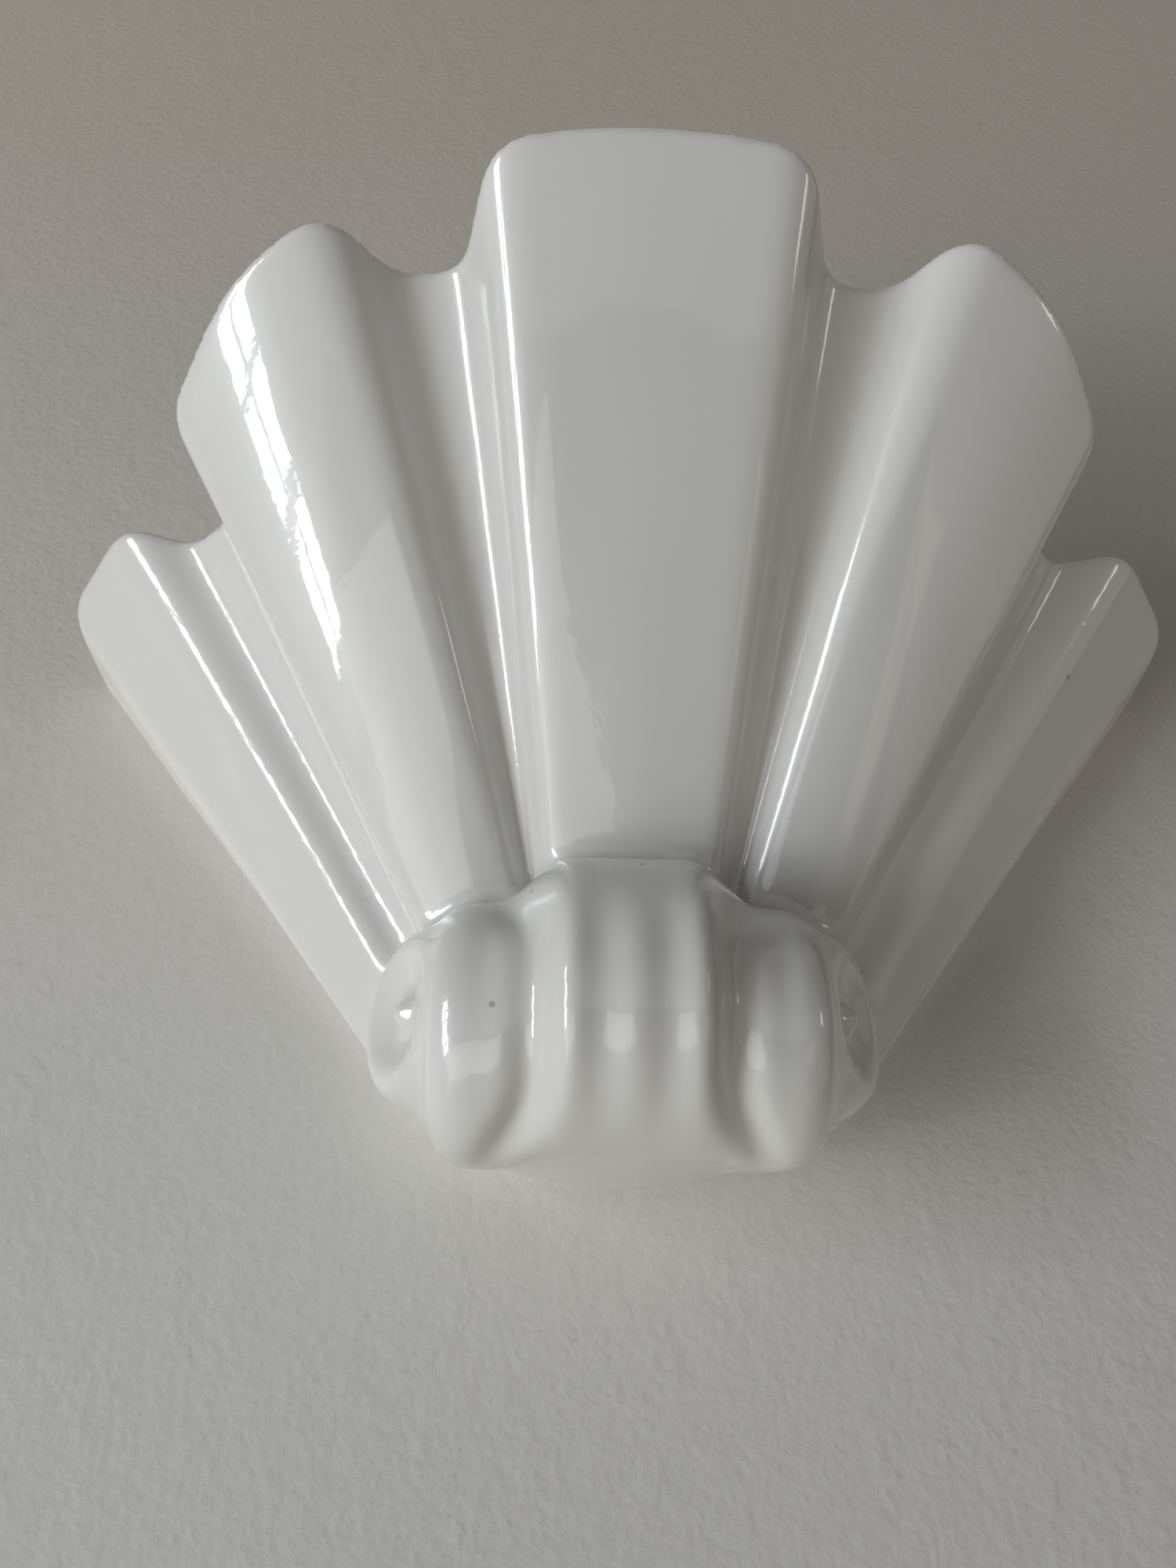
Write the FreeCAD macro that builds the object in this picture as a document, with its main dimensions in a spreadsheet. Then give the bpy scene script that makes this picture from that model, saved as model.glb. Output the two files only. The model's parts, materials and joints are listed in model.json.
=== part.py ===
import FreeCAD, Part
import Sketcher
import math
import os
import re

# Shell wall sconce: a slip-cast, glazed ceramic scallop shell with a scroll at its foot, open at the
# back and the top, hung on a folded steel bracket that also carries a small lampholder and its lamp.
#
# Frame: X to the right, Z up, the wall is the plane y = 0 and the room lies towards -Y.
# The origin is the middle of the two wall slots of the bracket.  Millimetres throughout.

Vector = FreeCAD.Vector

SIZES = (
    # ceramic casting
    ("slot_height", 118.0, "wall slots above the foot of the shell"),
    ("shell_wall", 7.0, "casting wall, measured level, at the rim"),
    ("hollow_half_width", 40.0, "half width of the hollow where the flutes run into the scroll"),
    ("hollow_depth", 20.0, "depth of the hollow there"),
    ("hollow_low", 13.0, "lower end of the hollow above the foot, at the wall"),
    ("hollow_high", 48.0, "lower end of the hollow above the foot, in the middle"),
    ("roll_wall", 7.5, "casting wall round the scroll"),
    ("foot_half_width", 62.0, "half width of the rounded foot on the wall"),
    ("foot_rise", 45.0, "height over which the foot rounds up into the flutes"),
    ("roll_middle_radius", 32.4, "scroll radius at its middle band"),
    ("roll_middle_out", 41.0, "scroll centre in front of the wall, middle band"),
    ("roll_middle_up", 32.0, "scroll centre above the foot, middle band"),
    ("roll_side_radius", 27.6, "scroll radius at the side barrels"),
    ("roll_side_out", 35.5, "scroll centre in front of the wall, side barrels"),
    ("roll_side_up", 27.0, "scroll centre above the foot, side barrels"),
    ("roll_half_length", 43.0, "half length of the scroll between its end faces"),
    ("band_half_width", 12.0, "half width of the middle band at its full height"),
    ("barrel_start", 32.0, "where the side barrels have their own height, sideways"),
    ("barrel_crown", 1.2, "rise of a side barrel's crown"),
    ("end_run", 12.0, "length over which the scroll rounds in at each end"),
    ("end_round", 6.0, "amount by which it rounds in there"),
    ("ripple_pitch", 13.5, "pitch of the soft flutes on the middle band"),
    ("ripple_depth", 0.9, "half depth of the soft flutes on the middle band"),
    ("groove_place", 20.5, "centre of the deep groove beside the middle band"),
    ("groove_depth", 4.2, "depth of that groove"),
    ("groove_half_width", 2.8, "half width of that groove"),
    ("volute_radius", 24.0, "radius of the turned end behind its face"),
    ("face_radius", 17.0, "radius of the scroll's end face"),
    ("volute_length", 24.0, "length of the turned end of the scroll"),
    ("volute_side", 50.5, "centre of the end face, sideways"),
    ("volute_out", 41.0, "centre of the end face, in front of the wall"),
    ("volute_up", 30.0, "centre of the end face, above the foot"),
    ("volute_splay", 32.0, "angle by which the end face looks forward, degrees"),
    ("eye_radius", 4.0, "radius of the eye of the volute"),
    ("dish_depth", 3.6, "depth of the dished end face"),
    # hanging lugs in the casting, and the hooks they drop on
    ("lug_height", 12.0, "height of a hanging lug"),
    ("lug_depth", 10.0, "depth of a hanging lug, front to back"),
    ("lug_setback", 2.0, "back of a lug in front of the wall"),
    ("lug_inner_end", 73.0, "inner end of a lug from the middle"),
    ("lug_round", 2.0, "rounding of the lug's free end"),
    ("seat_gap", 0.3, "clearance under a lug at rest"),
    ("lip_gap", 0.5, "clearance between a lug and the hook's lip"),
    # bracket
    ("sheet", 1.5, "steel sheet of the bracket and the arm"),
    ("strap_half_length", 95.0, "half length of the cross strap"),
    ("strap_half_height", 14.0, "half height of the cross strap"),
    ("strap_end_radius", 8.0, "corner radius of the cross strap"),
    ("tongue_half_width", 17.0, "half width of the hanging tongue"),
    ("tongue_drop", 94.0, "lower end of the tongue below the slots"),
    ("slot_spacing", 60.0, "distance between the wall slots"),
    ("slot_half_width", 2.6, "half width of a wall slot"),
    ("slot_length", 12.0, "length of a wall slot, end to end"),
    ("hook_place", 84.0, "middle of a hook from the middle of the bracket"),
    ("hook_width", 14.0, "width of a hook"),
    ("hook_drop", 22.0, "hook floor below the slots"),
    ("hook_lip", 7.0, "height of the hook's lip above its floor"),
    # lampholder arm
    ("arm_drop", 24.0, "top of the arm below the slots"),
    ("arm_half_width", 12.0, "half width of the arm"),
    ("lamp_axis_out", 34.0, "lamp axis in front of the wall"),
    ("arm_rise", 34.0, "height of the arm's upright leg"),
    ("rivet_radius", 2.0, "rivet shank radius"),
    ("rivet_head_radius", 3.6, "rivet head radius"),
    ("rivet_head_height", 1.6, "rivet head height"),
    ("rivet_low", 10.0, "lower rivet above the arm"),
    ("rivet_pitch", 14.0, "distance between the rivets"),
    # hollow nipple, nut and washer
    ("nipple_radius", 5.0, "M10 x 1 nipple, outside radius"),
    ("nipple_bore", 3.6, "nipple bore radius"),
    ("nipple_above", 7.0, "nipple above the arm"),
    ("nipple_below", 9.0, "nipple below the arm"),
    ("thread_gap", 0.05, "radial play of a plain-drawn thread"),
    ("nut_across", 7.5, "half width across flats of the nut"),
    ("nut_height", 5.0, "nut height"),
    ("washer_radius", 7.6, "toothed washer radius"),
    ("washer_thick", 0.8, "toothed washer thickness"),
    # lampholder
    ("holder_radius", 14.0, "lampholder outside radius"),
    ("holder_wall", 1.6, "lampholder moulding wall"),
    ("cap_height", 20.0, "height of the lampholder's lower cap"),
    ("skirt_height", 30.0, "height of the lampholder's upper skirt"),
    ("joint_gap", 0.2, "gap between the cap and the skirt"),
    ("core_radius", 12.0, "radius of the insulating core"),
    ("core_foot", 12.0, "foot of the core above the arm"),
    ("core_floor", 24.0, "floor of the core's socket above the arm"),
    ("core_top", 47.0, "top of the core above the arm"),
    ("core_gap", 0.3, "play of the core in the skirt"),
    ("sleeve_thick", 0.5, "thickness of the screw sleeve"),
    ("sleeve_foot", 27.0, "foot of the screw sleeve above the arm"),
    ("mouth_radius", 9.6, "mouth of the skirt, radius"),
    ("tab_width", 5.0, "width of the centre contact"),
    ("tab_thick", 0.6, "thickness of the centre contact"),
    ("core_hole_place", 6.0, "wire hole in the core from its axis"),
    ("core_hole_radius", 1.6, "wire hole in the core, radius"),
    ("pinch_radius", 1.5, "wire pinching screw radius"),
    ("pinch_up", 18.0, "wire pinching screws above the arm"),
    # lamp
    ("lamp_cap_radius", 6.9, "E14 cap radius"),
    ("lamp_play", 0.1, "radial play of the cap in its sleeve"),
    ("lamp_foot", 27.5, "lamp contact above the arm"),
    ("contact_radius", 2.6, "lamp contact radius"),
    ("contact_height", 1.4, "lamp contact height"),
    ("insulator_height", 3.0, "height of the cap's glass insulator"),
    ("lamp_cap_height", 20.0, "height of the cap's shell"),
    ("lamp_cap_wall", 0.4, "cap sheet thickness"),
    ("collar_radius", 8.2, "collar at the top of the cap"),
    ("collar_height", 3.6, "height of that collar"),
    ("globe_radius", 22.5, "globe radius"),
    ("globe_up", 80.0, "globe centre above the arm"),
    ("globe_wall", 1.0, "glass thickness"),
    ("neck_flow", 6.0, "radius by which the neck flows into the globe"),
    ("stem_radius", 2.4, "glass stem radius"),
    ("stem_top", 68.0, "top of the glass stem above the arm"),
    ("filament_length", 24.0, "length of a filament strip"),
    ("filament_radius", 0.9, "radius of a filament strip"),
    ("filament_ring", 6.0, "radius on which the filament strips stand"),
    ("support_radius", 0.4, "radius of the filament supports"),
    # terminal block and earth
    ("block_drop", 54.0, "top of the terminal block below the slots"),
    ("block_height", 15.0, "terminal block height"),
    ("block_half_width", 15.5, "half width of the terminal block"),
    ("block_depth", 14.0, "terminal block depth"),
    ("pole_pitch", 10.0, "distance between the poles"),
    ("pole_radius", 2.6, "outside radius of a pole tube"),
    ("pole_bore", 1.5, "bore of a pole tube"),
    ("pole_out", 8.5, "pole tubes in front of the wall"),
    ("clamp_radius", 1.3, "clamping screw radius"),
    ("clamp_inset", 4.0, "clamping screws from the block's ends"),
    ("fix_radius", 1.4, "block fixing screw radius"),
    ("fix_head_radius", 2.4, "block fixing screw head radius"),
    ("fix_head_height", 1.6, "block fixing screw head height"),
    ("earth_place", 50.0, "earth screw from the middle of the strap"),
    ("earth_radius", 2.0, "earth screw radius"),
    ("earth_head_radius", 3.8, "earth screw head radius"),
    ("earth_head_height", 2.4, "earth screw head height"),
    ("ring_thick", 0.8, "ring tag thickness"),
    ("ring_radius", 4.2, "ring tag radius"),
    ("barrel_radius", 1.9, "ring tag barrel radius"),
    ("barrel_length", 6.0, "ring tag barrel length"),
    ("cable_hole_drop", 82.0, "cable hole below the slots"),
    ("cable_hole_radius", 6.6, "cable hole radius"),
    ("bush_gap", 0.1, "play of the cable bush in its hole"),
    ("bush_bore", 4.2, "cable bush bore radius"),
    ("bush_flange_radius", 8.6, "cable bush flange radius"),
    ("bush_flange_height", 2.2, "cable bush flange height"),
    # leads
    ("lead_radius", 1.1, "lead radius over its insulation"),
)

# Edges of the flutes, from the wall to the middle flute, on the +X side; the -X side mirrors them.
# Each row: name, rim (sideways, out from the wall, up from the foot), rim radius,
# and the lower end of the same edge, inside the scroll, with its radius there.
FLUTE_EDGES = (
    ("wall", (150.0, 0.0, 139.5), 0.0, (45.7, 0.0, 12.0), 0.0),
    ("side_outer", (157.0, 21.0, 153.0), 16.0, (51.5, 6.0, 13.0), 5.0),
    ("side_inner", (134.0, 49.5, 159.0), 11.0, (41.9, 17.9, 22.0), 4.0),
    ("side_valley", (116.0, 47.0, 155.5), 9.0, (40.6, 17.3, 27.0), 3.0),
    ("next_valley", (102.0, 62.0, 152.0), 8.0, (39.7, 20.0, 33.0), 3.0),
    ("next_outer", (114.5, 85.0, 165.0), 10.0, (39.9, 25.3, 38.0), 4.0),
    ("next_middle", (97.5, 109.0, 180.0), 60.0, (33.0, 29.5, 43.0), 20.0),
    ("next_inner", (73.0, 124.0, 188.5), 11.0, (22.3, 29.3, 47.0), 4.0),
    ("front_valley", (59.0, 107.0, 188.0), 9.0, (21.0, 25.0, 47.5), 2.5),
    ("middle_valley", (43.0, 108.0, 188.0), 8.0, (20.4, 25.6, 48.0), 2.5),
    ("middle_outer", (36.0, 136.0, 196.0), 12.0, (17.5, 30.0, 48.0), 5.0),
)
MIDDLE_RIM = (0.0, 139.5, 198.0)
MIDDLE_RIM_RADIUS = 160.0
MIDDLE_BASE = (0.0, 30.6, 48.2)
MIDDLE_BASE_RADIUS = 60.0

# sections of the scroll on each side of its middle, outside and inside
OUTER_STATIONS = 18
INNER_STATIONS = 6

doc = FreeCAD.newDocument("shell_wall_sconce")
sheet = doc.addObject("Spreadsheet::Sheet", "sizes")
for row, (alias, value, meaning) in enumerate(SIZES, start=1):
    sheet.set("A%d" % row, alias)
    sheet.set("B%d" % row, repr(value))
    sheet.set("C%d" % row, meaning)
    sheet.setAlias("B%d" % row, alias)
doc.recompute()

ALIASES = {alias for alias, value, meaning in SIZES}
NODES = []


def bound(text):
    """The expression with each alias written as sizes.alias."""
    return re.sub(r"[a-z_]+", lambda m: "sizes." + m[0] if m[0] in ALIASES else m[0], text)


def size(text):
    """The present value of an expression of aliases."""
    return float(sheet.evalExpression(bound(text)))


def node(thing, name):
    """Marks a finished sub-part: its Label becomes the name of its file."""
    thing.Label = name
    NODES.append(thing)
    return thing


def tie(thing, **expressions):
    """Binds properties to expressions; a double underscore stands for a dot."""
    for path, text in expressions.items():
        thing.setExpression(path.replace("__", "."), bound(text))
    return thing


def place(thing, x="0", y="0", z="0"):
    return tie(thing, Placement__Base__x=x, Placement__Base__y=y, Placement__Base__z=z)


# ---------------------------------------------------------------- primitives and booleans

TURNS = {
    "z": FreeCAD.Rotation(),
    "x": FreeCAD.Rotation(Vector(0, 1, 0), 90),
    "front": FreeCAD.Rotation(Vector(1, 0, 0), 90),
}


def box(name, corner, extent):
    """A block from its low corner and its extent, all expressions."""
    thing = doc.addObject("Part::Box", name)
    tie(thing, Length=extent[0], Width=extent[1], Height=extent[2])
    return place(thing, *corner)


def rod(name, radius, length, start, along="z"):
    """A cylinder from its start along Z, X, or forward from the wall."""
    thing = doc.addObject("Part::Cylinder", name)
    thing.Placement = FreeCAD.Placement(Vector(), TURNS[along])
    tie(thing, Radius=radius, Height=length)
    return place(thing, *start)


def hexagon(name, half_across, height, start):
    thing = doc.addObject("Part::Prism", name)
    thing.Polygon = 6
    tie(thing, Circumradius="(%s) / cos(30)" % half_across, Height=height)
    return place(thing, *start)


def fuse(name, things):
    thing = doc.addObject("Part::MultiFuse", name)
    thing.Shapes = things
    thing.Refine = True
    return thing


def cut(name, base, tool):
    thing = doc.addObject("Part::Cut", name)
    thing.Base = base
    thing.Tool = tool
    return thing


def group(name, things):
    """Identical fasteners that share a node, as separate solids."""
    thing = doc.addObject("Part::Compound", name)
    thing.Links = things
    return thing


# ---------------------------------------------------------------- turned pieces

def profile(body, name, points):
    """A closed sketch of straight lines on the body's XZ plane, each corner tied to the sheet."""
    plane = next(f for f in body.Origin.OriginFeatures if f.Role == "XZ_Plane")
    sketch = body.newObject("Sketcher::SketchObject", name)
    sketch.AttachmentSupport = [(plane, "")]
    sketch.MapMode = "FlatFace"
    spots = [Vector(size(across), size(up), 0) for across, up in points]
    count = len(points)
    for i in range(count):
        sketch.addGeometry(Part.LineSegment(spots[i], spots[(i + 1) % count]), False)
    for i in range(count):
        sketch.addConstraint(Sketcher.Constraint("Coincident", i, 2, (i + 1) % count, 1))
    for i, (across, up) in enumerate(points):
        for kind, text, value in (("DistanceX", across, spots[i].x), ("DistanceY", up, spots[i].y)):
            index = sketch.addConstraint(Sketcher.Constraint(kind, -1, 1, i, 1, value))
            sketch.setExpression("Constraints[%d]" % index, bound(text))
    return sketch


def turned(name, points, out="lamp_axis_out"):
    """A body turned about a vertical axis from (radius, height) corners."""
    body = doc.addObject("PartDesign::Body", name)
    sketch = profile(body, name + "_profile", points)
    turn = body.newObject("PartDesign::Revolution", name + "_turn")
    turn.Profile = sketch
    turn.ReferenceAxis = (sketch, ["V_Axis"])
    turn.Angle = 360
    sketch.Visibility = False
    return place(body, y="-(%s)" % out)


# ---------------------------------------------------------------- the ceramic casting

def rounded_line(points, radii):
    """Straight runs joined by tangent arcs, from the first point to the last."""
    edges = []
    start = points[0]
    for before, corner, after, radius in zip(points, points[1:], points[2:], radii[1:]):
        back = before - corner
        ahead = after - corner
        reach = 0.47 * min(back.Length, ahead.Length)
        back.normalize()
        ahead.normalize()
        half = back.getAngle(ahead) / 2
        trim = min(radius / math.tan(half), reach)
        fitted = trim * math.tan(half)
        middle = back + ahead
        middle.normalize()
        first = corner + back * trim
        last = corner + ahead * trim
        crown = corner + middle * (fitted / math.sin(half) - fitted)
        edges.append(Part.LineSegment(start, first).toShape())
        edges.append(Part.Arc(first, crown, last).toShape())
        start = last
    edges.append(Part.LineSegment(start, points[-1]).toShape())
    return Part.Wire(edges)


def mirrored(half, middle):
    """The whole row of values from its +X half and its middle value."""
    return list(half) + [middle] + list(reversed(half))


def across(rows, middle):
    """Points of a whole section from (sideways, out, up from the foot) rows."""
    foot = -size("slot_height")
    right = [Vector(x, -out, foot + up) for x, out, up in rows]
    left = [Vector(-p.x, p.y, p.z) for p in reversed(right)]
    return right + [Vector(middle[0], -middle[1], foot + middle[2])] + left


def inward(points, wall, behind=0.0):
    """The same section moved inward, level, by the wall; its ends reach behind the wall plane."""
    moved = []
    for i, point in enumerate(points):
        normals = []
        for a, b in ((i - 1, i), (i, i + 1)):
            if a >= 0 and b < len(points):
                run = points[b] - points[a]
                run = Vector(run.y, -run.x, 0)
                run.normalize()
                normals.append(run)
        if len(normals) == 1:
            side = 1 if point.x > 0 else -1
            moved.append(Vector(point.x - side * wall / abs(normals[0].x), behind, point.z))
            continue
        bisector = normals[0] + normals[1]
        bisector.normalize()
        moved.append(point + bisector * (wall / bisector.dot(normals[0])))
    return moved


def sewn(faces):
    shell = Part.Shell(faces)
    shell.sewShape()
    solid = Part.makeSolid(shell)
    if solid.Volume < 0:
        solid.reverse()
    return solid


def end_face(wires, last):
    """The flat piece of the casting's back rim between the outer and inner sections."""
    corners = [(w.OrderedVertexes[-1] if last else w.OrderedVertexes[0]).Point for w in wires]
    return Part.Face(Part.makePolygon([corners[0], corners[1], corners[3], corners[2], corners[0]]))


def flute_sections():
    """Corners and radii of the outer and inner sections: (low, high) pairs of corners, and radii."""
    base = across([row[3] for row in FLUTE_EDGES], MIDDLE_BASE)
    rim = across([row[1] for row in FLUTE_EDGES], MIDDLE_RIM)
    rim_radii = mirrored([row[2] for row in FLUTE_EDGES], MIDDLE_RIM_RADIUS)
    base_radii = mirrored([row[4] for row in FLUTE_EDGES], MIDDLE_BASE_RADIUS)
    hollow = [inner_foot(i / len(FLUTE_EDGES)) for i in range(len(FLUTE_EDGES))]
    hollow_base = across(hollow, inner_foot(1.0))
    hollow_rim = inward(rim, size("shell_wall"))
    outer = (base, base_radii, rim, rim_radii)
    inner = (hollow_base, [size("hollow_half_width") / 4] * len(base), hollow_rim, rim_radii)
    return outer, inner


def inner_foot(share):
    """Lower end of an inner generator: the flutes fade into a plain rounded hollow."""
    angle = math.pi / 2 * share
    across_x = size("hollow_half_width") * math.cos(angle)
    out = size("hollow_depth") * math.sin(angle)
    up = size("hollow_low") + (size("hollow_high") - size("hollow_low")) * share
    return across_x, out, up


def fluted_wall():
    """The fan of five hollow flutes: straight generators from the scroll to the scalloped rim."""
    wires = []
    for base, base_radii, rim, rim_radii in flute_sections():
        wires += [rounded_line(base, base_radii), rounded_line(rim, rim_radii)]
    outer_base, outer_rim, inner_base, inner_rim = wires
    faces = []
    for low, high in ((outer_base, outer_rim), (inner_base, inner_rim),
                      (outer_rim, inner_rim), (outer_base, inner_base)):
        faces += Part.makeLoft([low, high], False, True).Faces
    return sewn(faces + [end_face(wires, False), end_face(wires, True)])


def level_wire(height, grow=0.0):
    """The hollow's section at a level above the foot, grown by a little and closed behind."""
    base, base_radii, rim, rim_radii = flute_sections()[1]
    points = []
    radii = []
    level = height - size("slot_height")
    for low, high, small, large in zip(base, rim, base_radii, rim_radii):
        share = (level - low.z) / (high.z - low.z)
        points.append(low + (high - low) * share)
        radii.append(small + (large - small) * share)
    section = rounded_line(inward(points, -grow, size("lug_setback")), radii)
    ends = [section.OrderedVertexes[i].Point for i in (-1, 0)]
    return Part.Wire(section.Edges + [Part.LineSegment(*ends).toShape()])


def hollow_slice(low, high, grow=0.0):
    """The space inside the flutes between two levels above the foot, open through the back."""
    return Part.makeLoft([level_wire(low, grow), level_wire(high, grow)], True, True)


def smooth(low, high, value):
    """0 below low, 1 above high, with an easy turn between."""
    part = min(1.0, max(0.0, (value - low) / (high - low)))
    return part * part * (3 - 2 * part)


def roll_circle(x, plain=False):
    """Centre out, centre up and radius of the scroll's section at x."""
    side = abs(x)
    blend = smooth(size("band_half_width"), size("barrel_start"), side)
    values = []
    for what in ("out", "up", "radius"):
        middle = size("roll_middle_" + what)
        values.append(middle + (size("roll_side_" + what) - middle) * blend)
    out, up, radius = values
    if not plain:
        reach = (size("roll_half_length") - size("groove_place")) / 2
        away = (side - size("groove_place") - reach) / reach
        radius += size("barrel_crown") * max(0.0, 1 - away * away)
        past = max(0.0, 1 - (size("roll_half_length") - side) / size("end_run"))
        radius -= size("end_round") * (1 - math.sqrt(max(0.0, 1 - past * past)))
        fade = 1 - smooth(groove_start(), size("groove_place"), side)
        radius += size("ripple_depth") * fade * math.cos(2 * math.pi * side / size("ripple_pitch"))
        width = (side - size("groove_place")) / size("groove_half_width")
        radius -= size("groove_depth") * math.exp(-width * width)
    return out, up, radius


def groove_start():
    return size("groove_place") - size("groove_half_width")


def foot_line(x):
    """Height of the casting's rounded foot on the wall at x."""
    share = min(1.0, abs(x) / size("foot_half_width"))
    return size("foot_rise") * (1 - math.sqrt(1 - share * share))


def tear_section(x, shrink=0.0, behind=0.0, plain=False):
    """Section of the scroll across X: a round front, tangent to lines that run to the wall."""
    foot = -size("slot_height")
    out, up, radius = roll_circle(x, plain)
    radius -= shrink
    centre = Vector(x, -out, foot + up)
    low = Vector(x, behind, foot + foot_line(x) + shrink)
    high = Vector(x, behind, foot + up + 0.7 * radius)
    touch = []
    for start, side in ((low, -1), (high, 1)):
        run = centre - start
        reach = math.sqrt(run.Length ** 2 - radius ** 2)
        turn = math.asin(radius / run.Length)
        angle = math.atan2(run.z, -run.y) + side * turn
        touch.append(start + Vector(0, -math.cos(angle), math.sin(angle)) * reach)
    front = centre - Vector(0, radius, 0)
    return Part.Wire([
        Part.LineSegment(low, touch[0]).toShape(),
        Part.Arc(touch[0], front, touch[1]).toShape(),
        Part.LineSegment(touch[1], high).toShape(),
        Part.LineSegment(high, low).toShape(),
    ])


def roll(stations, **how):
    return Part.makeLoft([tear_section(x, **how) for x in stations], True, True)


def spread(half_length, steps):
    return [half_length * i / steps for i in range(-steps, steps + 1)]


def volute(side):
    """The turned end of the scroll: a round barrel whose end face is dished round a raised eye."""
    radius = size("volute_radius")
    length = size("volute_length")
    dish = size("dish_depth")
    eye = size("eye_radius")

    def spot(along, out):
        return Vector(along, out, 0)

    ring = size("face_radius")
    shoulder = radius - ring
    bend = shoulder * (1 - math.sqrt(0.5))
    # the eye is a low dome, an arc centred on the axis
    rim = 0.8 * eye
    rise = 0.35 * eye
    dome = (rim * rim + rise * rise) / (2 * rise)
    lean = math.asin(rim / dome)
    low = length - 0.2 * dish
    centre = low - dome * math.cos(lean)
    flat = lean / 8
    top = centre + dome * math.cos(flat)
    outline = Part.Wire([
        Part.LineSegment(spot(0, 0), spot(0, radius)).toShape(),
        Part.LineSegment(spot(0, radius), spot(length - shoulder, radius)).toShape(),
        Part.Arc(spot(length - shoulder, radius), spot(length - bend, radius - bend),
                 spot(length, ring)).toShape(),
        Part.Arc(spot(length, ring), spot(length - 0.62 * dish, ring - eye),
                 spot(length - dish, 2 * eye)).toShape(),
        Part.Arc(spot(length - dish, 2 * eye), spot(length - 0.8 * dish, 1.35 * eye),
                 spot(low, rim)).toShape(),
        Part.Arc(spot(low, rim), spot(centre + dome * math.cos(lean / 2), dome * math.sin(lean / 2)),
                 spot(top, dome * math.sin(flat))).toShape(),
        Part.LineSegment(spot(top, dome * math.sin(flat)), spot(top, 0)).toShape(),
        Part.LineSegment(spot(top, 0), spot(0, 0)).toShape(),
    ])
    solid = Part.Face(outline).revolve(Vector(), Vector(1, 0, 0), 360)
    splay = math.radians(size("volute_splay"))
    axis = Vector(side * math.cos(splay), -math.sin(splay), 0)
    face = Vector(side * size("volute_side"), -size("volute_out"), size("volute_up") - size("slot_height"))
    solid.Placement = FreeCAD.Placement(face - axis * length, FreeCAD.Rotation(Vector(1, 0, 0), axis))
    return solid


def lug(side, space):
    """A cast lug inside the casting, level, from the side wall towards the middle."""
    inner = size("lug_inner_end")
    block = Part.makeBox(size("foot_half_width") * 2, size("lug_depth"), size("lug_height"))
    block.translate(Vector(inner, -size("lug_setback") - size("lug_depth"), lug_floor()))
    ends = [e for e in block.Edges if abs(e.BoundBox.XMax - inner) < 0.01 and e.BoundBox.YLength < 0.01]
    block = block.makeFillet(size("lug_round"), ends)
    if side < 0:
        block = block.mirror(Vector(), Vector(1, 0, 0))
    return block.common(space)


def lug_floor():
    return size("seat_gap") - size("hook_drop")


def casting():
    """The whole casting: flutes and scroll in one wall, hollow behind, with its two lugs."""
    wall = size("roll_wall")
    scroll = roll(spread(size("roll_half_length"), OUTER_STATIONS)).fuse([volute(1), volute(-1)])
    # the scroll stops inside the flutes' wall, so that the flutes alone give the inner face
    scroll = scroll.cut(hollow_slice(size("hollow_high"), 2 * size("roll_middle_up") + 2 * wall,
                                     size("shell_wall") / 8))
    roll_space = roll(spread(size("roll_half_length") - wall, INNER_STATIONS),
                      shrink=wall, behind=size("lug_setback"), plain=True)
    solid = fluted_wall().cut(roll_space).fuse(scroll.cut(roll_space))
    low = lug_floor() + size("slot_height")
    space = hollow_slice(low - wall, low + size("lug_height") + wall, size("shell_wall") / 2)
    return solid.fuse([lug(1, space), lug(-1, space)])


shell = node(doc.addObject("Part::Feature", "shell_body"), "shell_body")
shell.Shape = casting()


# ---------------------------------------------------------------- wall bracket

def hook(side):
    """One hook: a web down from the strap, a floor that carries the lug and a lip in front."""
    name = "hook_right" if side > 0 else "hook_left"
    left = "hook_place - hook_width / 2" if side > 0 else "-hook_place - hook_width / 2"
    reach = "lug_setback + lug_depth + lip_gap + sheet"
    return [
        box(name + "_web", (left, "-sheet", "-hook_drop - sheet"),
            ("hook_width", "sheet", "hook_drop + sheet")),
        box(name + "_floor", (left, "-(%s)" % reach, "-hook_drop - sheet"),
            ("hook_width", reach, "sheet")),
        box(name + "_lip", (left, "-(%s)" % reach, "-hook_drop - sheet"),
            ("hook_width", "sheet", "hook_lip + sheet")),
    ]


def slot(name, x):
    """A wall slot's cutter: a slot along X through the strap."""
    shift = "slot_length / 2 - slot_half_width"
    through = "3 * sheet"
    low = "-slot_half_width"
    return [
        box(name + "_run", ("%s - (%s)" % (x, shift), "-" + through, low),
            ("2 * (%s)" % shift, "2 * " + through, "2 * slot_half_width")),
        rod(name + "_end_a", "slot_half_width", "2 * " + through,
            ("%s - (%s)" % (x, shift), through, "0"), "front"),
        rod(name + "_end_b", "slot_half_width", "2 * " + through,
            ("%s + %s" % (x, shift), through, "0"), "front"),
    ]


def rivet_levels():
    return ["-arm_drop + rivet_low", "-arm_drop + rivet_low + rivet_pitch"]


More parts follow.
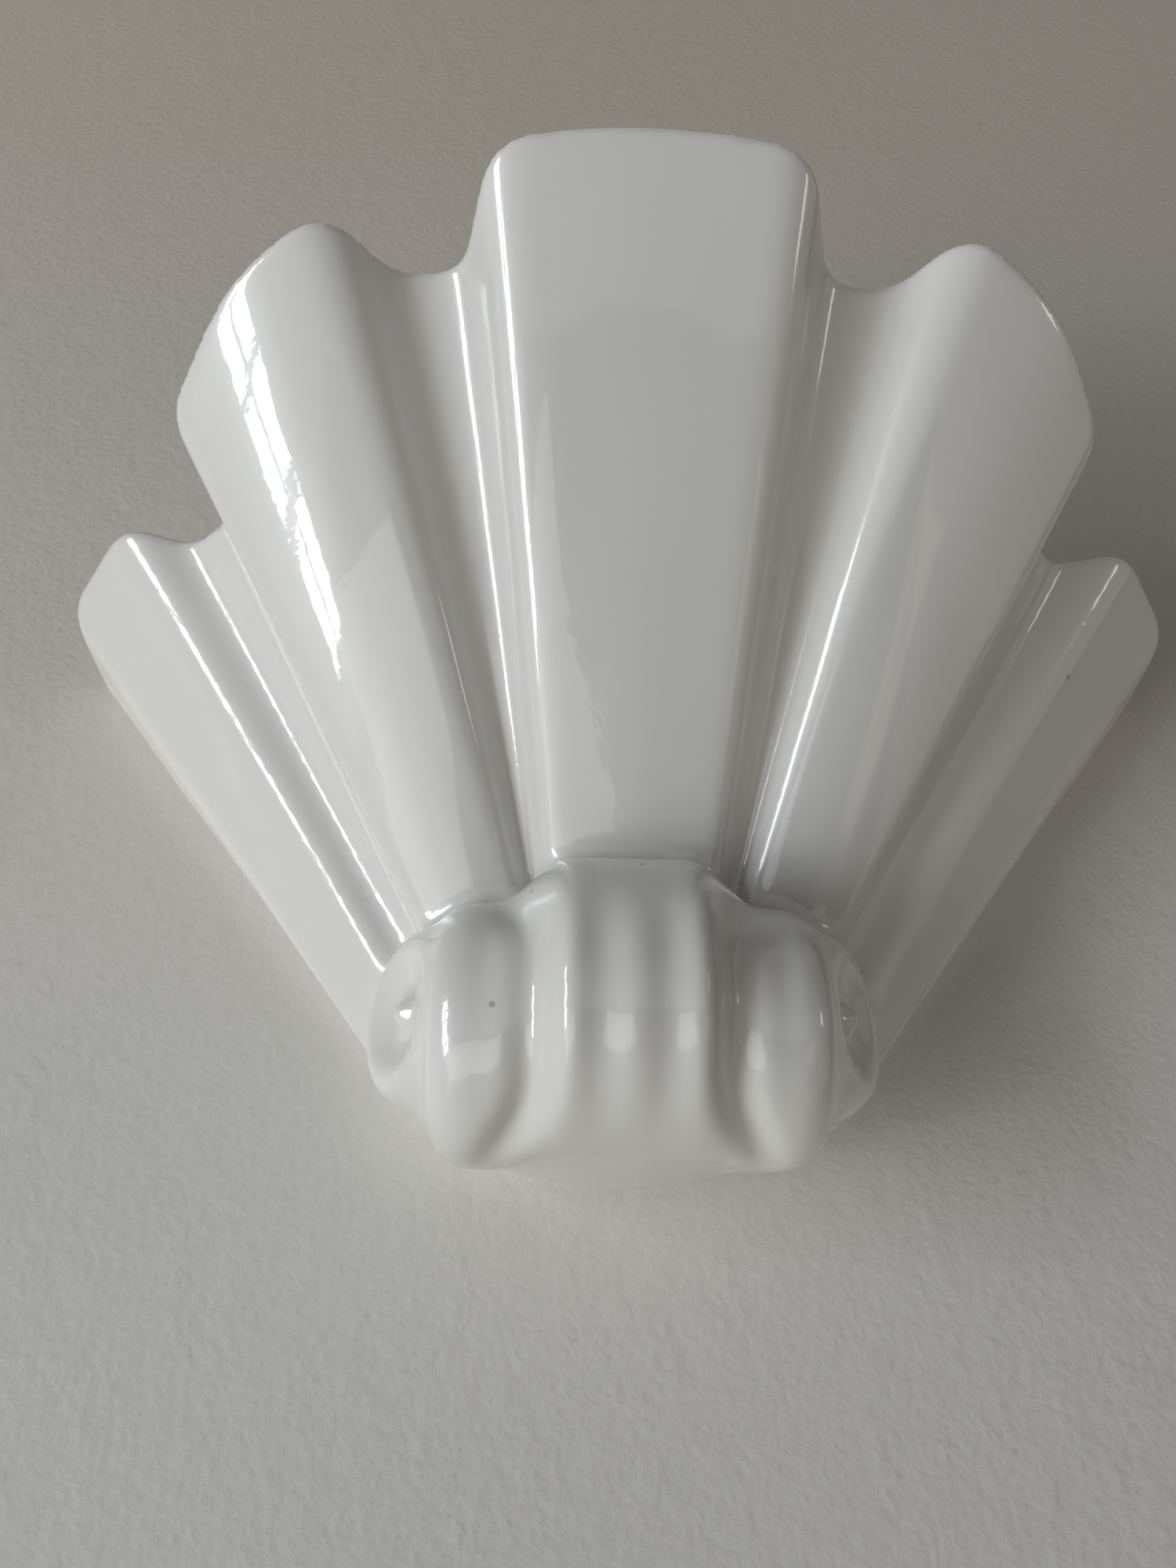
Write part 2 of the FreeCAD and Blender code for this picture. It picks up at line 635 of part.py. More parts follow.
end_run = "strap_half_length - strap_end_radius"
plate = [
    box("strap", ("-(%s)" % end_run, "-sheet", "-strap_half_height"),
        ("2 * (%s)" % end_run, "sheet", "2 * strap_half_height")),
    box("strap_ends", ("-strap_half_length", "-sheet", "-strap_half_height + strap_end_radius"),
        ("2 * strap_half_length", "sheet", "2 * (strap_half_height - strap_end_radius)")),
    box("tongue", ("-tongue_half_width", "-sheet", "-tongue_drop"),
        ("2 * tongue_half_width", "sheet", "tongue_drop")),
]
for side in ("", "-"):
    for level in ("", "-"):
        plate.append(rod("strap_corner", "strap_end_radius", "sheet",
                         ("%s(%s)" % (side, end_run), "0",
                          "%s(strap_half_height - strap_end_radius)" % level), "front"))
blank = fuse("bracket_blank", plate + hook(1) + hook(-1))
holes = slot("slot_right", "slot_spacing / 2") + slot("slot_left", "-slot_spacing / 2")
for hole, radius, place_x, level in (("cable_hole", "cable_hole_radius", "0", "-cable_hole_drop"),
                                     ("earth_hole", "earth_radius + thread_gap", "earth_place", "0")):
    holes.append(rod(hole, radius, "6 * sheet", (place_x, "3 * sheet", level), "front"))
holes.append(rod("block_hole", "fix_radius + thread_gap", "6 * sheet",
                 ("pole_pitch / 2", "3 * sheet", "-block_drop - block_height / 2"), "front"))
for level in rivet_levels():
    holes.append(rod("rivet_hole", "rivet_radius", "6 * sheet", ("0", "3 * sheet", level), "front"))
bracket = node(cut("wall_bracket", blank, fuse("bracket_holes", holes)), "wall_bracket")


# ---------------------------------------------------------------- arm that carries the lampholder

arm_blank = fuse("arm_blank", [
    box("arm_leg", ("-arm_half_width", "-2 * sheet", "-arm_drop - sheet"),
        ("2 * arm_half_width", "sheet", "arm_rise + sheet")),
    box("arm_shelf", ("-arm_half_width", "-lamp_axis_out", "-arm_drop - sheet"),
        ("2 * arm_half_width", "lamp_axis_out - sheet", "sheet")),
    rod("arm_nose", "arm_half_width", "sheet", ("0", "-lamp_axis_out", "-arm_drop - sheet")),
])
arm_holes = [rod("nipple_hole", "nipple_radius + thread_gap", "6 * sheet",
                 ("0", "-lamp_axis_out", "-arm_drop - 3 * sheet"))]
for level in rivet_levels():
    arm_holes.append(rod("arm_rivet_hole", "rivet_radius", "6 * sheet", ("0", "0", level), "front"))
node(cut("lamp_arm", arm_blank, fuse("arm_holes", arm_holes)), "lamp_arm")

rivets = []
for level in rivet_levels():
    rivets.append(fuse("rivet", [
        rod("rivet_shank", "rivet_radius", "2 * sheet", ("0", "0", level), "front"),
        rod("rivet_head", "rivet_head_radius", "rivet_head_height", ("0", "-2 * sheet", level), "front"),
    ]))
node(group("arm_rivets", rivets), "arm_rivets")

# ---------------------------------------------------------------- nipple, washer and nut

node(turned("hollow_nipple", [
    ("nipple_bore", "-arm_drop - sheet - nipple_below"),
    ("nipple_radius", "-arm_drop - sheet - nipple_below"),
    ("nipple_radius", "-arm_drop + nipple_above"),
    ("nipple_bore", "-arm_drop + nipple_above"),
]), "hollow_nipple")

below = "-arm_drop - sheet"
washer = cut("toothed_washer", rod("washer_disc", "washer_radius", "washer_thick",
                                   ("0", "-lamp_axis_out", below + " - washer_thick")),
             rod("washer_hole", "nipple_radius + thread_gap", "3 * washer_thick",
                 ("0", "-lamp_axis_out", below + " - 2 * washer_thick")))
node(washer, "toothed_washer")
nut = cut("nipple_nut", hexagon("nut_block", "nut_across", "nut_height",
                                ("0", "-lamp_axis_out", below + " - washer_thick - nut_height")),
          rod("nut_thread", "nipple_radius + thread_gap", "3 * nut_height",
              ("0", "-lamp_axis_out", below + " - washer_thick - 2 * nut_height")))
node(nut, "nipple_nut")

# ---------------------------------------------------------------- lampholder

foot = "-arm_drop"
node(turned("holder_cap", [
    ("nipple_radius + thread_gap", foot),
    ("holder_radius - 3 * holder_wall", foot),
    ("holder_radius", foot + " + 3 * holder_wall"),
    ("holder_radius", foot + " + cap_height"),
    ("holder_radius - holder_wall", foot + " + cap_height"),
    ("holder_radius - holder_wall", foot + " + 4 * holder_wall"),
    ("nipple_radius + 2 * holder_wall", foot + " + nipple_above - holder_wall"),
    ("nipple_radius + thread_gap", foot + " + nipple_above - holder_wall"),
]), "holder_cap")

skirt_top = foot + " + cap_height + joint_gap + skirt_height"
ridge = "holder_wall / 2"
node(turned("holder_skirt", [
    ("core_radius + core_gap", foot + " + cap_height + joint_gap"),
    ("holder_radius", foot + " + cap_height + joint_gap"),
    ("holder_radius", skirt_top + " - skirt_height / 5"),
    ("holder_radius + " + ridge, skirt_top + " - skirt_height / 6"),
    ("holder_radius + " + ridge, skirt_top + " - holder_wall"),
    ("holder_radius", skirt_top),
    ("mouth_radius", skirt_top),
    ("mouth_radius", skirt_top + " - holder_wall"),
    ("core_radius + core_gap", skirt_top + " - holder_wall"),
]), "holder_skirt")

socket = "lamp_cap_radius + lamp_play + sleeve_thick + thread_gap"
core_blank = turned("core_blank", [
    ("0", foot + " + core_foot"),
    ("core_radius", foot + " + core_foot"),
    ("core_radius", foot + " + core_top"),
    (socket, foot + " + core_top"),
    (socket, foot + " + core_floor"),
    ("0", foot + " + core_floor"),
])
core_cuts = []
for side in ("", "-"):
    core_cuts.append(rod("core_wire_hole", "core_hole_radius", "core_floor - core_foot - tab_thick",
                         (side + "core_hole_place", "-lamp_axis_out", foot + " + core_foot")))
    start = side + "core_radius" if side else "core_hole_place"
    core_cuts.append(rod("core_pinch_hole", "pinch_radius + thread_gap", "core_radius - core_hole_place",
                         (start, "-lamp_axis_out", foot + " + pinch_up"), "x"))
node(cut("holder_core", core_blank, fuse("core_cuts", core_cuts)), "holder_core")

node(turned("screw_sleeve", [
    ("lamp_cap_radius + lamp_play", foot + " + sleeve_foot"),
    ("lamp_cap_radius + lamp_play + sleeve_thick", foot + " + sleeve_foot"),
    ("lamp_cap_radius + lamp_play + sleeve_thick", foot + " + core_top - thread_gap"),
    ("lamp_cap_radius + lamp_play", foot + " + core_top - thread_gap"),
]), "screw_sleeve")

tab_rise = "lamp_foot - core_floor - seat_gap"
node(fuse("centre_contact", [
    box("tab_base", ("-tab_width", "-lamp_axis_out - tab_width / 2", foot + " + core_floor"),
        ("2 * tab_width", "tab_width", "tab_thick")),
    box("tab_post", ("-tab_width", "-lamp_axis_out - tab_width / 2", foot + " + core_floor"),
        ("tab_thick", "tab_width", tab_rise)),
    box("tab_top", ("-tab_width", "-lamp_axis_out - tab_width / 2",
                    foot + " + core_floor + %s - tab_thick" % tab_rise),
        ("1.5 * tab_width", "tab_width", "tab_thick")),
]), "centre_contact")

pinches = []
for side in ("", "-"):
    start = "-core_radius" if side else "core_hole_place + core_hole_radius / 2"
    pinches.append(rod("pinch_screw", "pinch_radius", "core_radius - core_hole_place - core_hole_radius / 2",
                       (start, "-lamp_axis_out", foot + " + pinch_up"), "x"))
node(group("pinch_screws", pinches), "pinch_screws")

# ---------------------------------------------------------------- lamp

contact = foot + " + lamp_foot"
node(turned("lamp_contact", [
    ("0", contact),
    ("contact_radius / 2", contact),
    ("contact_radius", contact + " + contact_height / 2"),
    ("contact_radius", contact + " + contact_height"),
    ("0", contact + " + contact_height"),
]), "lamp_contact")

shell_foot = contact + " + contact_height + insulator_height"
node(turned("lamp_insulator", [
    ("0", contact + " + contact_height"),
    ("contact_radius + lamp_cap_wall", contact + " + contact_height"),
    ("lamp_cap_radius - lamp_cap_wall", shell_foot),
    ("0", shell_foot),
]), "lamp_insulator")

shell_top = shell_foot + " + lamp_cap_height"
node(turned("lamp_cap", [
    ("lamp_cap_radius - 3 * lamp_cap_wall", shell_foot),
    ("lamp_cap_radius", shell_foot),
    ("lamp_cap_radius", shell_top),
    ("collar_radius + lamp_cap_wall", shell_top),
    ("collar_radius + lamp_cap_wall", shell_top + " + collar_height"),
    ("collar_radius", shell_top + " + collar_height"),
    ("collar_radius", shell_top + " + lamp_cap_wall"),
    ("lamp_cap_radius - lamp_cap_wall", shell_top + " + lamp_cap_wall"),
    ("lamp_cap_radius - lamp_cap_wall", shell_foot + " + lamp_cap_wall"),
    ("lamp_cap_radius - 3 * lamp_cap_wall", shell_foot + " + lamp_cap_wall"),
]), "lamp_cap")


def globe_solid(shrink):
    """A ball on a neck that flows into it, turned about the lamp axis."""
    radius = size("globe_radius") - shrink
    neck = size("collar_radius - joint_gap") - shrink
    flow = size("neck_flow") + shrink
    centre = size(foot + " + globe_up")
    low = size(globe_foot) + shrink
    # the neck's arc is centred outside the glass and touches the ball
    out = neck + flow
    drop = math.sqrt((radius + flow) ** 2 - out ** 2)
    share = radius / (radius + flow)
    touch = Vector(out * share, 0, centre - drop * share)
    lean = (math.atan2(drop, -out) + math.pi) / 2
    bend = Vector(out + flow * math.cos(lean), 0, centre - drop + flow * math.sin(lean))
    neck_top = Vector(neck, 0, centre - drop)
    side = math.atan2(-drop, out) / 2 + math.pi / 4
    ball = Vector(radius * math.cos(side), 0, centre + radius * math.sin(side))
    crown = Vector(0, 0, centre + radius)
    edges = [
        Part.LineSegment(Vector(0, 0, low), Vector(neck, 0, low)).toShape(),
        Part.LineSegment(Vector(neck, 0, low), neck_top).toShape(),
        Part.Arc(neck_top, bend, touch).toShape(),
        Part.Arc(touch, ball, crown).toShape(),
        Part.LineSegment(crown, Vector(0, 0, low)).toShape(),
    ]
    return Part.Face(Part.Wire(edges)).revolve(Vector(), Vector(0, 0, 1), 360)


globe_foot = shell_top + " + lamp_cap_wall + joint_gap"
globe = node(doc.addObject("Part::Feature", "lamp_globe"), "lamp_globe")
globe.Shape = globe_solid(0.0).cut(globe_solid(size("globe_wall")))
globe.Placement = FreeCAD.Placement(Vector(0, -size("lamp_axis_out"), 0), FreeCAD.Rotation())

stem_foot = globe_foot + " + globe_wall"
node(rod("lamp_stem", "stem_radius", "%s + stem_top - (%s)" % (foot, stem_foot),
         ("0", "-lamp_axis_out", stem_foot)), "lamp_stem")
strips = []
for x, y in (("filament_ring", "0"), ("-filament_ring", "0"),
             ("0", "filament_ring"), ("0", "-filament_ring")):
    strips.append(rod("filament", "filament_radius", "filament_length",
                      (x, "%s - lamp_axis_out" % y, foot + " + stem_top + 2 * support_radius")))
node(group("lamp_filaments", strips), "lamp_filaments")
node(fuse("filament_support", [
    box("support_across", ("-filament_ring", "-lamp_axis_out - support_radius", foot + " + stem_top"),
        ("2 * filament_ring", "2 * support_radius", "2 * support_radius")),
    box("support_along", ("-support_radius", "-lamp_axis_out - filament_ring", foot + " + stem_top"),
        ("2 * support_radius", "2 * filament_ring", "2 * support_radius")),
]), "filament_support")

# ---------------------------------------------------------------- terminal block

block_low = "-block_drop - block_height"
block_blank = box("block_blank", ("-block_half_width", "-sheet - block_depth", block_low),
                  ("2 * block_half_width", "block_depth", "block_height"))
poles = ["-pole_pitch", "0", "pole_pitch"]
clamp_levels = [block_low + " + clamp_inset", "-block_drop - clamp_inset"]
block_cuts = [rod("block_fix_way", "fix_radius + thread_gap", "3 * block_depth",
                  ("pole_pitch / 2", "block_depth", block_low + " + block_height / 2"), "front")]
tubes = []
clamps = []
clamp_length = "sheet + block_depth - pole_out - pole_bore - joint_gap"
for x in poles:
    below = (x, "-pole_out", block_low + " - block_height")
    block_cuts.append(rod("pole_way", "pole_radius + thread_gap", "3 * block_height", below))
    tube_blank = rod("pole_tube_blank", "pole_radius", "block_height - 2 * sheet",
                     (x, "-pole_out", block_low + " + sheet"))
    tube_bores = [rod("pole_tube_bore", "pole_bore", "3 * block_height", below)]
    for level in clamp_levels:
        for name, ways in (("clamp_way", block_cuts), ("clamp_bore", tube_bores)):
            ways.append(rod(name, "clamp_radius + thread_gap", "block_depth",
                            (x, "-pole_out", level), "front"))
        clamps.append(rod("clamp_screw", "clamp_radius", clamp_length,
                          (x, "-pole_out - pole_bore", level), "front"))
    tubes.append(cut("pole_tube", tube_blank, fuse("pole_tube_bores", tube_bores)))
node(cut("terminal_block", block_blank, fuse("block_cuts", block_cuts)), "terminal_block")
node(group("terminal_tubes", tubes), "terminal_tubes")
node(group("terminal_screws", clamps), "terminal_screws")
fix_level = block_low + " + block_height / 2"
node(fuse("block_screw", [
    rod("block_screw_shank", "fix_radius", "sheet + block_depth",
        ("pole_pitch / 2", "0", fix_level), "front"),
    rod("block_screw_head", "fix_head_radius", "fix_head_height",
        ("pole_pitch / 2", "-sheet - block_depth", fix_level), "front"),
]), "block_screw")

# ---------------------------------------------------------------- earth point and cable bush

tag_front = "-sheet - ring_thick"
tag_blank = fuse("tag_blank", [
    rod("tag_ring", "ring_radius", "ring_thick", ("earth_place", "-sheet", "0"), "front"),
    box("tag_neck", ("earth_place - barrel_radius", tag_front, "-ring_radius - barrel_length / 2"),
        ("2 * barrel_radius", "ring_thick", "ring_radius + barrel_length / 2")),
    rod("tag_barrel", "barrel_radius", "barrel_length",
        ("earth_place", "-sheet - barrel_radius", "-ring_radius - barrel_length")),
])
tag_cuts = fuse("tag_cuts", [
    rod("tag_hole", "earth_radius + thread_gap", "6 * sheet", ("earth_place", "3 * sheet", "0"), "front"),
    rod("tag_bore", "lead_radius + thread_gap", "barrel_length - ring_thick",
        ("earth_place", "-sheet - barrel_radius", "-ring_radius - barrel_length")),
])
node(cut("earth_ring_tag", tag_blank, tag_cuts), "earth_ring_tag")
node(fuse("earth_screw", [
    rod("earth_shank", "earth_radius", "sheet + ring_thick", ("earth_place", "0", "0"), "front"),
    rod("earth_head", "earth_head_radius", "earth_head_height", ("earth_place", tag_front, "0"), "front"),
]), "earth_screw")

bush_blank = fuse("bush_blank", [
    rod("bush_neck", "cable_hole_radius - bush_gap", "sheet", ("0", "0", "-cable_hole_drop"), "front"),
    rod("bush_flange", "bush_flange_radius", "bush_flange_height",
        ("0", "-sheet", "-cable_hole_drop"), "front"),
])
bush_way = rod("bush_way", "bush_bore", "6 * bush_flange_height",
               ("0", "3 * bush_flange_height", "-cable_hole_drop"), "front")
node(cut("cable_bush", bush_blank, bush_way), "cable_bush")


# ---------------------------------------------------------------- leads

def lead(name, points):
    """A lead along straight runs joined by arcs as large as the runs allow."""
    edges = []
    start = points[0]
    tightest = None
    for i in range(1, len(points) - 1):
        back = points[i - 1] - points[i]
        ahead = points[i + 1] - points[i]
        trim = 0.45 * min(back.Length, ahead.Length)
        back.normalize()
        ahead.normalize()
        half = back.getAngle(ahead) / 2
        radius = trim * math.tan(half)
        tightest = radius if tightest is None else min(tightest, radius)
        middle = back + ahead
        middle.normalize()
        crown = points[i] + middle * (radius / math.sin(half) - radius)
        first = points[i] + back * trim
        last = points[i] + ahead * trim
        edges.append(Part.LineSegment(start, first).toShape())
        edges.append(Part.Arc(first, crown, last).toShape())
        start = last
    edges.append(Part.LineSegment(start, points[-1]).toShape())
    path = Part.Wire(edges)
    radius = size("lead_radius")
    ring = Part.Wire([Part.makeCircle(radius, points[0], points[1] - points[0])])
    solid = path.makePipeShell([ring], True, False)
    expected = math.pi * radius ** 2 * path.Length
    print("%s: tightest arc %.1f mm, volume %.4f of its section times its length"
          % (name, tightest, solid.Volume / expected))
    thing = node(doc.addObject("Part::Feature", name), name)
    thing.Shape = solid
    return thing


def holder_lead(name, side, pole):
    """From a terminal of the lampholder, down through the nipple and back to its pole."""
    out = size("lamp_axis_out")
    near = side * size("lead_radius + thread_gap * 4")
    far = side * size("core_hole_place")
    x = size(pole)
    low = size("-arm_drop - sheet - nipple_below")
    entry = size("-block_drop")
    return lead(name, [
        Vector(far, -out, size(foot + " + core_foot + 2 * lead_radius")),
        Vector(far, -out, size(foot + " + core_foot - lead_radius")),
        Vector(near, -out, size(foot + " + nipple_above + joint_gap")),
        Vector(near, -out, low),
        Vector(near * 1.5 + x * 0.2, -out + 5, low - 6),
        Vector(x * 0.7, -size("pole_out") - 7, (low + entry) / 2 - 2.5),
        Vector(x, -size("pole_out"), entry + 4),
        Vector(x, -size("pole_out"), entry - size("clamp_inset")),
    ])


holder_lead("live_lead", -1, "-pole_pitch")
holder_lead("neutral_lead", 1, "0")
lead("earth_lead", [
    Vector(size("pole_pitch"), -size("pole_out"), size("-block_drop - clamp_inset")),
    Vector(size("pole_pitch"), -size("pole_out"), size("-block_drop") + 6),
    Vector(size("pole_pitch") + 5, -size("pole_out"), size("-block_drop") + 15),
    Vector(size("earth_place") - 14, -size("pole_out"), size("-block_drop") + 24),
    Vector(size("earth_place") - 1, -size("pole_out") + 3, size("-ring_radius - barrel_length") - 14),
    Vector(size("earth_place"), size("-sheet - barrel_radius"), size("-ring_radius - barrel_length") - 5),
    Vector(size("earth_place"), size("-sheet - barrel_radius"), size("-ring_radius - ring_thick * 2")),
])

# ---------------------------------------------------------------- checks and export

doc.recompute()
for thing in doc.Objects:
    if "Invalid" in thing.State or "Error" in thing.State:
        raise RuntimeError("%s did not compute: %s" % (thing.Label, thing.State))
for thing in NODES:
    if thing.Shape.isNull() or not thing.Shape.isValid() or not thing.Shape.Solids:
        raise RuntimeError("%s is not a sound solid" % thing.Label)
    if any(solid.Volume <= 0 for solid in thing.Shape.Solids):
        raise RuntimeError("%s has an empty or reversed solid" % thing.Label)
os.makedirs("parts", exist_ok=True)
for thing in NODES:
    thing.Shape.exportStep("parts/%s.step" % thing.Label)
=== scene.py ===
import json
import math

import bpy
import numpy as np
import openvdb
from mathutils import Matrix, Vector


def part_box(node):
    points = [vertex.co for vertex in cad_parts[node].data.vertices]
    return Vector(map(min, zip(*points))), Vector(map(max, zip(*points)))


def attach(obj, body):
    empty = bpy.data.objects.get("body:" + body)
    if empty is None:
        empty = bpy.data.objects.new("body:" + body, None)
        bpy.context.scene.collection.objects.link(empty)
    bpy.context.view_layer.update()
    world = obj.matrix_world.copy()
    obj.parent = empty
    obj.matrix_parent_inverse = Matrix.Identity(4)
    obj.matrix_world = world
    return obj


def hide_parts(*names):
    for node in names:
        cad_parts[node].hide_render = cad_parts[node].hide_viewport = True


# Shell wall sconce: the glazed casting is rebuilt here as one fine surface from the same edges as
# the solid; the bracket, lampholder, lamp and wiring are the frame's own nodes with new materials.
# Metres; X to the right, Z up, the wall is the plane y = 0 and the room lies towards -Y.

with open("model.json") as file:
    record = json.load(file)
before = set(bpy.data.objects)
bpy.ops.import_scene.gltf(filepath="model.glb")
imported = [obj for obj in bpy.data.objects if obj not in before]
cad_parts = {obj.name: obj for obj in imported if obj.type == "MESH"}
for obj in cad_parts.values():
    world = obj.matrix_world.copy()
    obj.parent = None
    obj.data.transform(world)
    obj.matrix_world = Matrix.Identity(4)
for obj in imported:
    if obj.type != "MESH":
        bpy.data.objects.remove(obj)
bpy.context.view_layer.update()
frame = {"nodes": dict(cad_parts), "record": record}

VOXEL = 0.0011  # step of the distance fields
BAND = 0.009  # distances are kept up to this on both sides of the skin
MARGIN = 0.004  # room of the fields round the shell
FOOT = -0.118  # height of the casting's foot

# ------------------------------------------------------------------ the casting's outline
# name, rim corner (sideways, out from the wall, up from the foot), its radius,
# and the lower end of the same edge with its radius
FLUTE_EDGES = (
    ("wall", (0.150, 0.0, 0.1395), 0.0, (0.0457, 0.0, 0.012), 0.0),
    ("side_outer", (0.157, 0.021, 0.153), 0.016, (0.0515, 0.006, 0.013), 0.005),
    ("side_inner", (0.134, 0.0495, 0.159), 0.011, (0.0419, 0.0179, 0.022), 0.004),
    ("side_valley", (0.116, 0.047, 0.1555), 0.009, (0.0406, 0.0173, 0.027), 0.003),
    ("next_valley", (0.102, 0.062, 0.152), 0.008, (0.0397, 0.020, 0.033), 0.003),
    ("next_outer", (0.1145, 0.085, 0.165), 0.010, (0.0399, 0.0253, 0.038), 0.004),
    ("next_middle", (0.0975, 0.109, 0.180), 0.060, (0.033, 0.0295, 0.043), 0.020),
    ("next_inner", (0.073, 0.124, 0.1885), 0.011, (0.0223, 0.0293, 0.047), 0.004),
    ("front_valley", (0.059, 0.107, 0.188), 0.009, (0.021, 0.025, 0.0475), 0.0025),
    ("middle_valley", (0.043, 0.108, 0.188), 0.008, (0.0204, 0.0256, 0.048), 0.0025),
    ("middle_outer", (0.036, 0.136, 0.196), 0.012, (0.0175, 0.030, 0.048), 0.005),
)
MIDDLE_RIM, MIDDLE_RIM_RADIUS = (0.0, 0.1395, 0.198), 0.160
MIDDLE_BASE, MIDDLE_BASE_RADIUS = (0.0, 0.0306, 0.0482), 0.060
WALL = 0.007
LIP = 0.0021  # height of the rim's rounded lip
RIM_EASE = 1.004  # makes up for what the smoothing takes off the rim's corners
SHEET_SPACING, SHEET_SOFTNESS = 0.001, 0.0022
SHEET_ROWS, LIP_ROWS, HOLLOW_ROWS = 60, 13, 30
HOLLOW_HALF_WIDTH, HOLLOW_DEPTH, HOLLOW_LOW, HOLLOW_HIGH = 0.040, 0.020, 0.013, 0.048
HOLLOW_OVERRUN, HOLLOW_BEHIND, HOLLOW_PEAK = 1.15, 0.004, 0.02

# the scroll: centre out from the wall, centre up from the foot, radius
ROLL_MIDDLE = (0.041, 0.032, 0.0324)
ROLL_SIDE = (0.0355, 0.027, 0.0276)
SCROLL_SHIFT = -0.002
ROLL_WALL = 0.0075
ROLL_HALF_LENGTH = 0.043
BAND_HALF_WIDTH, BARREL_START, BARREL_CROWN = 0.012, 0.032, 0.0012
END_RUN, END_ROUND = 0.012, 0.006
GROOVE_PLACE, GROOVE_DEPTH, GROOVE_HALF_WIDTH = 0.0205, 0.0038, 0.0042
GROOVE_FLARE, FOOT_FLARE = 0.006, 0.0085
RIPPLE_PITCH, RIPPLE_DEPTH = 0.0135, 0.00065
RIPPLE_EDGE = (0.005, 0.001)  # inside the groove's place
# where these come and go round the roll, in degrees above its centre's level
RIPPLE_TOP, RIPPLE_FOOT = (0, 38), (-84, -25)
FLARE_TOP, FLARE_FOOT = (5, 70), (40, 95)
GROOVE_TOP, GROOVE_TOP_SHARE, GROOVE_FOOT = (30, 75), 0.8, (-112, -60)
FOOT_HALF_WIDTH, FOOT_RISE = 0.062, 0.045
TOP_TANGENT = 0.7  # where the upper tangent leaves the wall, in radii above the centre

VOLUTE_RADIUS, FACE_RADIUS, VOLUTE_LENGTH = 0.0222, 0.0168, 0.024
VOLUTE_SPLAY = math.radians(32)
VOLUTE_FACE = (0.0505, -0.041, FOOT + 0.030)
TAPER_SHARE, TAPER_POWER = 0.6, 2.2
RING_INSET, RING_SWELL, RING_TURN = 0.0012, 0.0014, 2.2
DISH_DEPTH, DISH_FLOOR, EYE_RADIUS, EYE_RISE = 0.0036, 0.30, 0.0060, 0.0010
FACE_EDGE, VOLUTE_BACK_EDGE = 0.0028, 0.003

# rounding where two forms meet
ROLL_EDGE, VOLUTE_FILLET, SCROLL_FILLET = 0.004, 0.004, 0.006
SPACE_EDGE, SPACE_MOUTH, LUG_EDGE, LUG_FILLET = 0.003, 0.002, 0.003, 0.003
# slight unevenness of the cast wall: height, then length and phase of its waves
WOBBLE = 0.00028
WAVES = ((0.083, 0.4), (0.061, 2.1), (0.047, 4.4))
SMOOTH_PASSES = 2

LUG_LOW = (0.073, -0.012, -0.0217)
LUG_HIGH = (0.150, -0.002, -0.0097)


def ease(low, high, value):
    """0 below low, 1 above high, with an easy turn between."""
    part = np.clip((value - low) / (high - low), 0.0, 1.0)
    return part * part * (3 - 2 * part)


def joined(a, b, width):
    """Union of two distance fields with a rounded inner corner."""
    near = np.maximum(width - np.abs(a - b), 0) / width
    return np.minimum(a, b) - near * near * width / 4


def common(a, b, width):
    """Intersection of two distance fields with a rounded outer edge."""
    return -joined(-a, -b, width)


def rounded_line(points, radii, arc=8, run=7):
    """Samples of straight runs joined by arcs, always the same number for the same corners."""
    out = []
    start = points[0]
    for before, corner, after, radius in zip(points, points[1:], points[2:], radii[1:]):
        back, ahead = before - corner, after - corner
        reach = 0.47 * min(back.length, ahead.length)
        back.normalize()
        ahead.normalize()
        half = back.angle(ahead) / 2
        trim = min(radius / math.tan(half), reach)
        fitted = trim * math.tan(half)
        centre = corner + (back + ahead).normalized() * fitted / math.sin(half)
        first, last = corner + back * trim, corner + ahead * trim
        out += [start.lerp(first, i / run) for i in range(run)]
        turn = math.pi - 2 * half
        for i in range(arc):
            share = i / arc
            a = math.sin((1 - share) * turn) / math.sin(turn)
            b = math.sin(share * turn) / math.sin(turn)
            out.append(centre + (first - centre) * a + (last - centre) * b)
        start = last
    out += [start.lerp(points[-1], i / run) for i in range(run + 1)]
    return np.array(out)


def mirrored(half, middle):
    """One value per edge from right to left, from those of the right half and the middle."""
    return list(half) + [middle] + list(reversed(half))


def across(rows, middle):
    """Points from right to left, from (sideways, out, up) of the right half and the middle."""
    right = [Vector((x, -out, FOOT + up)) for x, out, up in rows]
    left = [Vector((-p.x, p.y, p.z)) for p in reversed(right)]
    return right + [Vector((middle[0], -middle[1], FOOT + middle[2]))] + left


def inward(points, wall):
    """The same section moved inward, level, by the wall."""
    moved = []
    for i, point in enumerate(points):
        normals = []
        for a, b in ((i - 1, i), (i, i + 1)):
            if a >= 0 and b < len(points):
                run = points[b] - points[a]
                normals.append(Vector((run.y, -run.x, 0)).normalized())
        if len(normals) == 1:
            side = 1 if point.x > 0 else -1
            moved.append(Vector((point.x - side * wall / abs(normals[0].x), 0, point.z)))
        else:
            bisector = (normals[0] + normals[1]).normalized()
            moved.append(point + bisector * (wall / bisector.dot(normals[0])))
    return moved


def inner_foot(share):
    """Lower end of the hollow: a quarter of an ellipse from the wall round to the middle."""
    angle = math.pi / 2 * share
    return (HOLLOW_HALF_WIDTH * math.cos(angle), HOLLOW_DEPTH * math.sin(angle),
            HOLLOW_LOW + (HOLLOW_HIGH - HOLLOW_LOW) * share)


